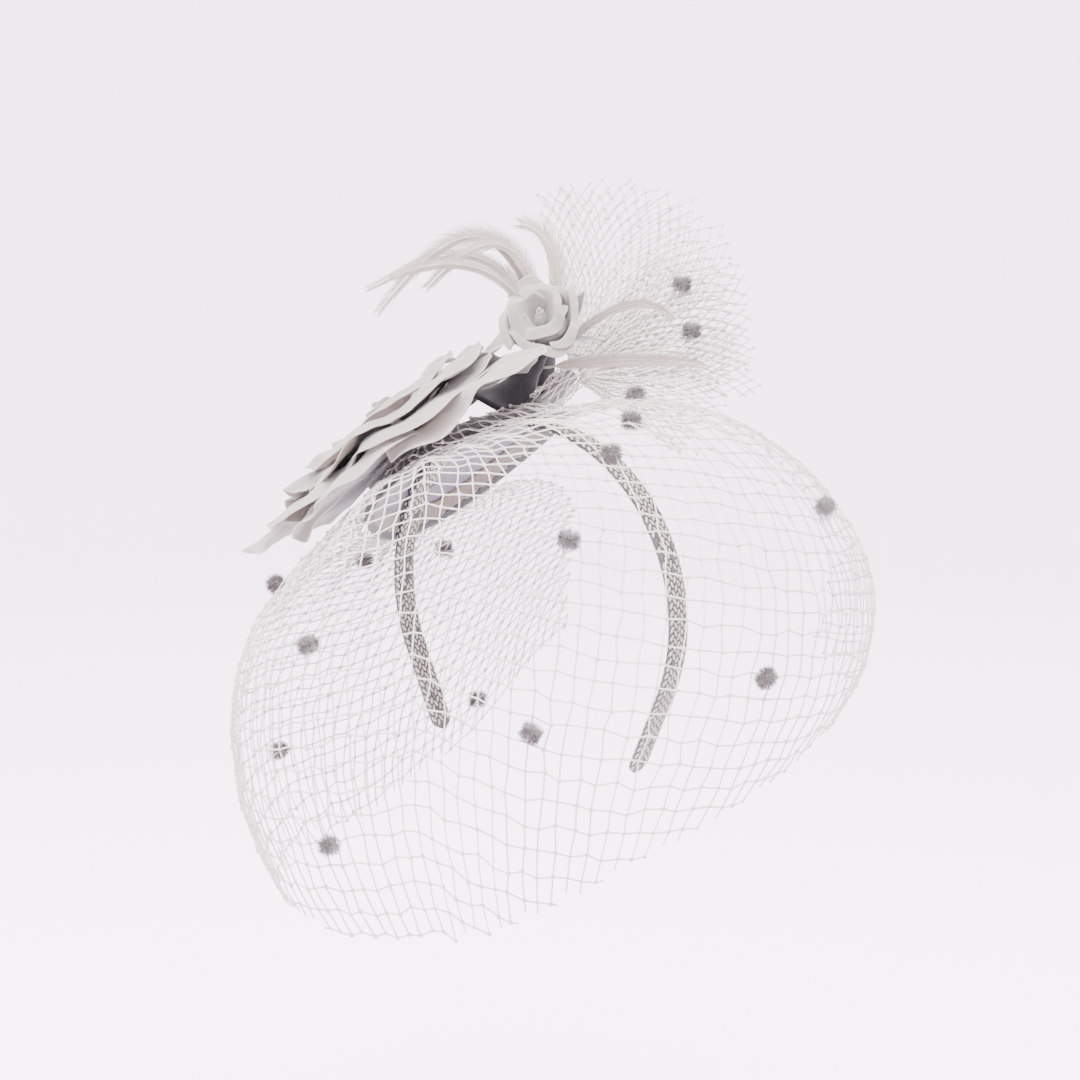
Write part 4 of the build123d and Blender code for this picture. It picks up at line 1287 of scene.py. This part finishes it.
def fan_layer(offset, reach, phase, angles):
    """One layer of the netting fan, gathered to its foot."""
    normal = FAN_SIDE.cross(FAN_UP)

    def place(u, v):
        share = 1.0 - u
        angle = math.radians(angles[0] + (angles[1] - angles[0]) * share)
        radius = FAN_START_R + (fan_edge(share) * reach - FAN_START_R) * v
        grown = (radius / 103.0) ** 1.3
        ripple = 4.2 * math.sin(2.0 * math.pi * (3.0 * share + phase)) * grown
        small = 1.6 * math.sin(2.0 * math.pi * 11.0 * share + 4.0 * phase) * grown ** 0.5
        spot = FAN_APEX + FAN_SIDE * (radius * math.cos(angle)) + FAN_UP * (radius * math.sin(angle))
        spot += normal * (ripple + small + offset * grown)
        return spot + normal * (1.2 * rough(spot, 0.08, phase * 7.0))

    return place


def veil_lie(x, y):
    """How the straight net is pulled out of square as it is draped round the head."""
    lean = 0.42 * math.tanh((x - 80.0) / 110.0)
    fall = -0.40 * max(0.0, x - 40.0) + 0.12 * max(0.0, -x - 60.0)
    return x + lean * y, y + fall + 0.05 * x


def fan_lie(x, y):
    """The fan's net lies on the bias."""
    return (x - y) * math.sqrt(0.5), (x + y) * math.sqrt(0.5)


def net_cut(flat, cell, draw, ragged, lie):
    """Knotted net cut to a strip, in millimetres; its layers say how a thread runs and where knots are."""
    wide, long = flat
    count = int(1.5 * (wide + long) / cell)
    bm = bmesh.new()
    across = bm.edges.layers.int.new("across")
    crossing = bm.verts.layers.int.new("crossing")
    bmesh.ops.create_grid(bm, x_segments=count, y_segments=count, size=count * cell / 2.0)
    slack = cell * 0.15
    for vert in bm.verts:
        vert[crossing] = 1
    for edge in bm.edges:
        way = edge.verts[1].co - edge.verts[0].co
        edge[across] = int(abs(way.x) > abs(way.y))
    for vert in bm.verts:
        x, y = lie(vert.co.x + draw.uniform(-slack, slack), vert.co.y + draw.uniform(-slack, slack))
        vert.co.x, vert.co.y = x, y
    spare = 2.0 * cell
    far = [
        vert for vert in bm.verts
        if abs(vert.co.x) > long / 2.0 + spare or abs(vert.co.y) > wide / 2.0 + spare
    ]
    bmesh.ops.delete(bm, geom=far, context="VERTS")
    bmesh.ops.delete(bm, geom=bm.faces[:], context="FACES_ONLY")
    halved = bmesh.ops.subdivide_edges(bm, edges=bm.edges[:], cuts=1)
    for part in halved["geom_inner"]:
        if isinstance(part, bmesh.types.BMVert):
            part[crossing] = 0
    outside = [
        vert for vert in bm.verts
        if abs(vert.co.x) > long / 2.0 or vert.co.y > wide / 2.0
        or vert.co.y < -wide / 2.0 + ragged * draw.random()
    ]
    bmesh.ops.delete(bm, geom=outside, context="VERTS")
    return bm


def threads_one_way(strip, wanted):
    """A copy of the net with the threads of one direction only."""
    bm = strip.copy()
    across = bm.edges.layers.int["across"]
    bmesh.ops.delete(bm, geom=[edge for edge in bm.edges if edge[across] != wanted], context="EDGES")
    alone = [vert for vert in bm.verts if not vert.link_edges]
    bmesh.ops.delete(bm, geom=alone, context="VERTS")
    return bm


def net_piece(name, flat, cell, thread, knot_r, place, lie, draw, finishes, ragged=0.0):
    """Veiling: two sets of threads, carried onto their surface, with a knot at each crossing."""
    wide, long = flat
    strip = net_cut(flat, cell, draw, ragged, lie)

    def carry(point):
        return place(min(max(point.x / long + 0.5, 0.0), 1.0), min(max(0.5 - point.y / wide, 0.0), 1.0)) * MM

    parts = []
    for wanted in (0, 1):
        bm = threads_one_way(strip, wanted)
        for vert in bm.verts:
            vert.co = carry(vert.co)
        lines = add_piece(f"{name}_threads", bm)
        bpy.ops.object.select_all(action="DESELECT")
        lines.select_set(True)
        bpy.context.view_layer.objects.active = lines
        bpy.ops.object.convert(target="CURVE")
        lines = bpy.context.view_layer.objects.active
        lines.data.bevel_depth = thread / math.sqrt(2.0)
        lines.data.bevel_resolution = 0
        lines.data.use_fill_caps = False
        bpy.ops.object.convert(target="MESH")
        parts.append(bpy.context.view_layer.objects.active)

    knot = bmesh.new()
    bmesh.ops.create_icosphere(knot, subdivisions=1, radius=1.0)
    shapes = []
    for size in KNOT_SIZES:
        shape = bpy.data.meshes.new("knot")
        bmesh.ops.scale(knot, vec=(size * knot_r,) * 3, verts=knot.verts)
        knot.to_mesh(shape)
        bmesh.ops.scale(knot, vec=(1.0 / (size * knot_r),) * 3, verts=knot.verts)
        shapes.append(shape)
    knot.free()
    bm = bmesh.new()
    crossing = strip.verts.layers.int["crossing"]
    for vert in strip.verts:
        if not vert[crossing] or not vert.link_edges:
            continue
        before = len(bm.verts)
        bm.from_mesh(draw.choice(shapes))
        bm.verts.ensure_lookup_table()
        spot = carry(vert.co)
        for corner in bm.verts[before:]:
            corner.co += spot
    strip.free()
    for face in bm.faces:
        face.material_index = 1
    for shape in shapes:
        bpy.data.meshes.remove(shape)
    knots = add_piece(f"{name}_knots", bm, *finishes)
    bpy.ops.object.select_all(action="DESELECT")
    for part in parts:
        part.data.materials.clear()
        for finish in finishes:
            part.data.materials.append(finish)
        part.select_set(True)
    knots.select_set(True)
    bpy.context.view_layer.objects.active = parts[0]
    bpy.ops.object.join()
    net = bpy.context.view_layer.objects.active
    net.name = name
    net.data.name = name
    net.data.shade_smooth()
    return net


class FASCINATOR_OT_veiling(bpy.types.Operator):
    """Drape the birdcage veil and gather the standing fan of netting"""

    bl_idname = "fascinator.veiling"
    bl_label = "Veiling"

    def execute(self, context):
        sizes = context.scene.fascinator_sizes
        colours = context.scene.fascinator_colours
        finishes = (
            net_finish("veiling_thread", tuple(colours.net)),
            net_finish("veiling_knot", tuple(colours.knot)),
        )
        draw = random.Random(3)
        cell = sizes.net_cell / MM
        veil = net_piece("birdcage_veil", VEIL_FLAT, cell, sizes.net_thread, sizes.net_knot, veil_place,
                         veil_lie, draw, finishes)
        finish_piece(veil, "crown", "netting", "veil_net")
        # name, how far it stands off, share of the fan's reach, place of its ripples, first and last angle
        layers = (
            ("standing_fan_front", 0.0, 1.02, 0.0, FAN_ANGLES),
            ("standing_fan_middle", 3.0, 0.80, 0.61, (-40.0, 60.0)),
            ("standing_fan_back", -4.0, 0.98, 0.37, (0.0, 100.0)),
        )
        for name, offset, reach, phase, angles in layers:
            flat = (FAN_FLAT[0] * reach, FAN_FLAT[1])
            fan = net_piece(name, flat, cell, sizes.net_thread, sizes.net_knot * 0.9,
                            fan_layer(offset, reach, phase, angles), fan_lie, draw, finishes, ragged=13.0)
            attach(fan, "crown")
            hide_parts("fan_net")
        foot = base_point(BASE_R + BASE_THICK + 0.3, *FAN_FOOT)
        neck_way = FAN_APEX - foot
        neck_side = neck_way.cross(Vector((0.0, 1.0, 0.0))).normalized()
        neck_up = neck_way.cross(neck_side).normalized()

        def neck_place(u, v):
            turn = 2.0 * math.pi * u
            ripple = 5.2 + 1.4 * math.sin(9.0 * turn + 5.0 * v) + 3.0 * (v - 0.45) ** 2
            round_it = neck_side * math.cos(turn) + neck_up * math.sin(turn)
            return foot + neck_way * (1.25 * (1.0 - v)) + round_it * ripple

        neck = net_piece("fan_gathered_neck", NECK_FLAT, cell, sizes.net_thread, sizes.net_knot * 0.8,
                         neck_place, fan_lie, draw, finishes)
        finish_piece(neck, "crown", "netting", "fan_gather")
        thread = thread_finish("gather_thread", GATHER_THREAD)
        stem = add_piece("fan_bound_foot", bound_stem(foot, FAN_APEX, 3.7, 2.9, 22), thread)
        finish_piece(stem, "crown", "thread", "fan_gather")
        return {"FINISHED"}


# --- chenille dots ------------------------------------------------------------------------------

def dot_pile(centre, across, outward, pile, draw, shapes, target):
    """A chenille dot: pile that stands out all round a short twisted core."""
    third = outward.cross(across)
    core = bmesh.new()
    bmesh.ops.create_icosphere(core, subdivisions=2, radius=1.0)
    core.to_mesh(shapes[2])
    core.free()
    before = len(target.verts)
    target.from_mesh(shapes[2])
    target.verts.ensure_lookup_table()
    turn_to = Matrix((across, third, outward)).transposed().to_4x4()
    move = Matrix.Scale(MM, 4) @ Matrix.Translation(centre) @ turn_to @ Matrix.Diagonal((*DOT_CORE, 1.0))
    for vert in target.verts[before:]:
        vert.co = move @ vert.co
    for _ in range(DOT_PILE_COUNT):
        along = draw.uniform(-1.0, 1.0)
        turn = draw.uniform(0.0, 2.0 * math.pi)
        radial = outward * math.cos(turn) + third * math.sin(turn)
        way = (radial + across * (0.55 * along + draw.uniform(-0.35, 0.35))).normalized()
        length = pile * (1.0 - 0.35 * along * along) * draw.uniform(0.72, 1.05)
        side = way.cross(across if abs(way.dot(across)) < 0.9 else outward).normalized()
        turn_to = Matrix((side, way.cross(side), way)).transposed().to_4x4()
        at = centre + across * (2.9 * along)
        size = Matrix.Diagonal((0.12 * MM, 0.12 * MM, length * MM, 1.0))
        before = len(target.verts)
        target.from_mesh(shapes[0 if draw.random() < GREY_SHARE else 1])
        target.verts.ensure_lookup_table()
        move = Matrix.Translation(at * MM) @ turn_to @ size
        for vert in target.verts[before:]:
            vert.co = move @ vert.co


class FASCINATOR_OT_dots(bpy.types.Operator):
    """Tie the chenille dots to the veiling"""

    bl_idname = "fascinator.dots"
    bl_label = "Chenille dots"

    def execute(self, context):
        sizes = context.scene.fascinator_sizes
        colours = context.scene.fascinator_colours
        grey = thread_finish("chenille_grey", tuple(colours.chenille), 0.85, 0.4)
        pale = thread_finish("chenille_pale", CHENILLE_PALE, 0.85, 0.4)
        shapes = []
        for index in (0, 1):
            bm = bmesh.new()
            bmesh.ops.create_cone(bm, cap_ends=False, segments=3, radius1=1.0, radius2=0.25, depth=1.0,
                                  matrix=Matrix.Translation((0.0, 0.0, 0.5)))
            for face in bm.faces:
                face.material_index = index
            shape = bpy.data.meshes.new("pile")
            bm.to_mesh(shape)
            bm.free()
            shapes.append(shape)
        shapes.append(bpy.data.meshes.new("pile_core"))
        draw = random.Random(7)
        bm = bmesh.new()
        pile = sizes.fuzz_length / MM
        for angle, share in VEIL_DOTS:
            here = veil_point(angle, share)
            across = (veil_point(angle + 0.5, share) - here).normalized()
            below = veil_point(angle, share + 0.01) - here
            outward = across.cross(below).normalized()
            if outward.dot(here) < 0.0:
                outward = -outward
            lean = draw.uniform(-0.7, 0.7)
            axis = (across * math.cos(lean) + below.normalized() * math.sin(lean)).normalized()
            dot_pile(here + outward * DOT_OFF_VEIL, axis, outward, pile, draw, shapes, bm)
        normal = FAN_SIDE.cross(FAN_UP)
        for angle, radius in FAN_DOTS:
            turn = math.radians(angle)
            here = FAN_APEX + FAN_SIDE * (radius * math.cos(turn)) + FAN_UP * (radius * math.sin(turn))
            dot_pile(here + normal * DOT_OFF_FAN, FAN_SIDE, normal, pile * 0.9, draw, shapes, bm)
        for shape in shapes:
            bpy.data.meshes.remove(shape)
        dots = add_piece("chenille_dot_pile", bm, grey, pale)
        finish_piece(dots, "crown", "chenille", "chenille_dots")
        return {"FINISHED"}


# --- stage --------------------------------------------------------------------------------------

CAMERA_AZIMUTH = 40.16
CAMERA_ELEVATION = 11.73
CAMERA_ROLL = 0.593
CAMERA_AWAY = 1067.1
CAMERA_SIDE = 2.22
CAMERA_UP = 25.31
CAMERA_LENS = 83.33
LIGHT_AIM = Vector((0.0, 0.0, 0.03))

# the round paper sweep, in metres
SWEEP_RADIUS = 3.0
SWEEP_FLOOR = -0.34
SWEEP_WALL = 3.6
SWEEP_BEND = 1.4


def camera_ways():
    """The camera's right, up and backward directions."""
    turn, rise, roll = (math.radians(value) for value in (CAMERA_AZIMUTH, CAMERA_ELEVATION, CAMERA_ROLL))
    right = Vector((math.cos(turn), math.sin(turn), 0.0))
    back = Vector((math.sin(turn) * math.cos(rise), -math.cos(turn) * math.cos(rise), math.sin(rise)))
    up = back.cross(right)
    return right * math.cos(roll) - up * math.sin(roll), right * math.sin(roll) + up * math.cos(roll), back


def area_light(name, place, size, power, tint):
    """A soft box that faces the headpiece."""
    light = bpy.data.lights.new(name, "AREA")
    light.shape = "DISK"
    light.size = size
    light.energy = power
    light.color = tint
    lamp = bpy.data.objects.new(name, light)
    bpy.context.scene.collection.objects.link(lamp)
    lamp.location = place
    lamp.rotation_mode = "QUATERNION"
    lamp.rotation_quaternion = (Vector(place) - LIGHT_AIM).to_track_quat("Z", "Y")
    return lamp


class FASCINATOR_OT_stage(bpy.types.Operator):
    """Set up the camera, the pale sweep and the soft lights"""

    bl_idname = "fascinator.stage"
    bl_label = "Studio stage"

    def execute(self, context):
        colours = context.scene.fascinator_colours
        right, up, back = camera_ways()
        camera = bpy.data.objects.new("studio_camera", bpy.data.cameras.new("studio_camera"))
        context.scene.collection.objects.link(camera)
        place = (right * CAMERA_SIDE + up * CAMERA_UP + back * CAMERA_AWAY) * MM
        camera.matrix_world = Matrix.Translation(place) @ Matrix((right, up, back)).transposed().to_4x4()
        camera.data.sensor_width = 36.0
        camera.data.lens = CAMERA_LENS
        camera.data.clip_start = 0.01
        camera.data.clip_end = 50.0
        context.scene.camera = camera

        made, tree, shader = start_material("studio_paper", 0.9, 0.0, 0.1)
        own = coordinates(tree, False)
        dye = place_group(tree, mottle_group(), own, Scale=0.4, Light=tuple(colours.backdrop),
                          Dark=darker(colours.backdrop, 0.985))
        tree.links.new(dye, shader.inputs["Base Color"])
        bm = bmesh.new()
        made_ring = bmesh.ops.create_circle(bm, segments=96, radius=SWEEP_RADIUS, cap_ends=True)
        bmesh.ops.translate(bm, vec=(0.0, 0.0, SWEEP_FLOOR), verts=made_ring["verts"])
        rim = [edge for edge in bm.edges if edge.is_boundary]
        walls = bmesh.ops.extrude_edge_only(bm, edges=rim)["geom"]
        tops = [part for part in walls if isinstance(part, bmesh.types.BMVert)]
        bmesh.ops.translate(bm, vec=(0.0, 0.0, SWEEP_WALL), verts=tops)
        fold = [
            edge for edge in bm.edges
            if len(edge.link_faces) == 2 and all(vert.co.z < 0.0 for vert in edge.verts)
        ]
        bmesh.ops.bevel(bm, geom=fold, offset=SWEEP_BEND, segments=14, profile=0.5, affect="EDGES",
                        material=-1)
        bmesh.ops.recalc_face_normals(bm, faces=bm.faces)
        bmesh.ops.reverse_faces(bm, faces=bm.faces)
        sweep = add_piece("studio_sweep", bm, made)

        world = bpy.data.worlds.new("studio_air")
        world.use_nodes = True
        context.scene.world = world
        sky = world.node_tree.nodes["Background"]
        sky.inputs["Color"].default_value = (0.95, 0.93, 1.0, 1.0)
        sky.inputs["Strength"].default_value = 1.5
        area_light("overhead_softbox", (0.3, -0.3, 2.0), 2.0, 330.0, (1.0, 0.985, 1.0))
        area_light("key_softbox", (-1.0, -1.7, 1.3), 1.2, 105.0, (1.0, 0.98, 0.97))
        area_light("fill_softbox", (1.9, -0.9, 0.7), 1.4, 40.0, (0.97, 0.97, 1.0))
        return {"FINISHED"}


# --- sidebar ------------------------------------------------------------------------------------

class FASCINATOR_PT_sidebar(bpy.types.Panel):
    """Steps and settings of the headpiece"""

    bl_label = "Fascinator"
    bl_idname = "FASCINATOR_PT_sidebar"
    bl_space_type = "VIEW_3D"
    bl_region_type = "UI"
    bl_category = "Fascinator"

    def draw(self, context):
        layout = self.layout
        for operator in OPERATORS:
            layout.operator(operator.bl_idname)
        for settings in (context.scene.fascinator_sizes, context.scene.fascinator_colours):
            box = layout.box()
            for name in settings.bl_rna.properties.keys():
                if name not in ("rna_type", "name"):
                    box.prop(settings, name)


OPERATORS = (
    FASCINATOR_OT_stage,
    FASCINATOR_OT_headband,
    FASCINATOR_OT_base,
    FASCINATOR_OT_rose,
    FASCINATOR_OT_rosette,
    FASCINATOR_OT_feathers,
    FASCINATOR_OT_veiling,
    FASCINATOR_OT_dots,
)
CLASSES = (FascinatorSizes, FascinatorColours, *OPERATORS, FASCINATOR_PT_sidebar)


def register():
    """Adds the settings, the operators and the panel."""
    for cls in CLASSES:
        bpy.utils.register_class(cls)
    bpy.types.Scene.fascinator_sizes = bpy.props.PointerProperty(type=FascinatorSizes)
    bpy.types.Scene.fascinator_colours = bpy.props.PointerProperty(type=FascinatorColours)


def unregister():
    """Takes them away again."""
    del bpy.types.Scene.fascinator_colours
    del bpy.types.Scene.fascinator_sizes
    for cls in reversed(CLASSES):
        bpy.utils.unregister_class(cls)


def main():
    """Builds the stage and every piece."""
    register()
    bpy.ops.fascinator.stage()
    bpy.ops.fascinator.headband()
    bpy.ops.fascinator.base()
    bpy.ops.fascinator.rose()
    bpy.ops.fascinator.rosette()
    bpy.ops.fascinator.feathers()
    bpy.ops.fascinator.veiling()
    bpy.ops.fascinator.dots()


if __name__ == "__main__":
    main()
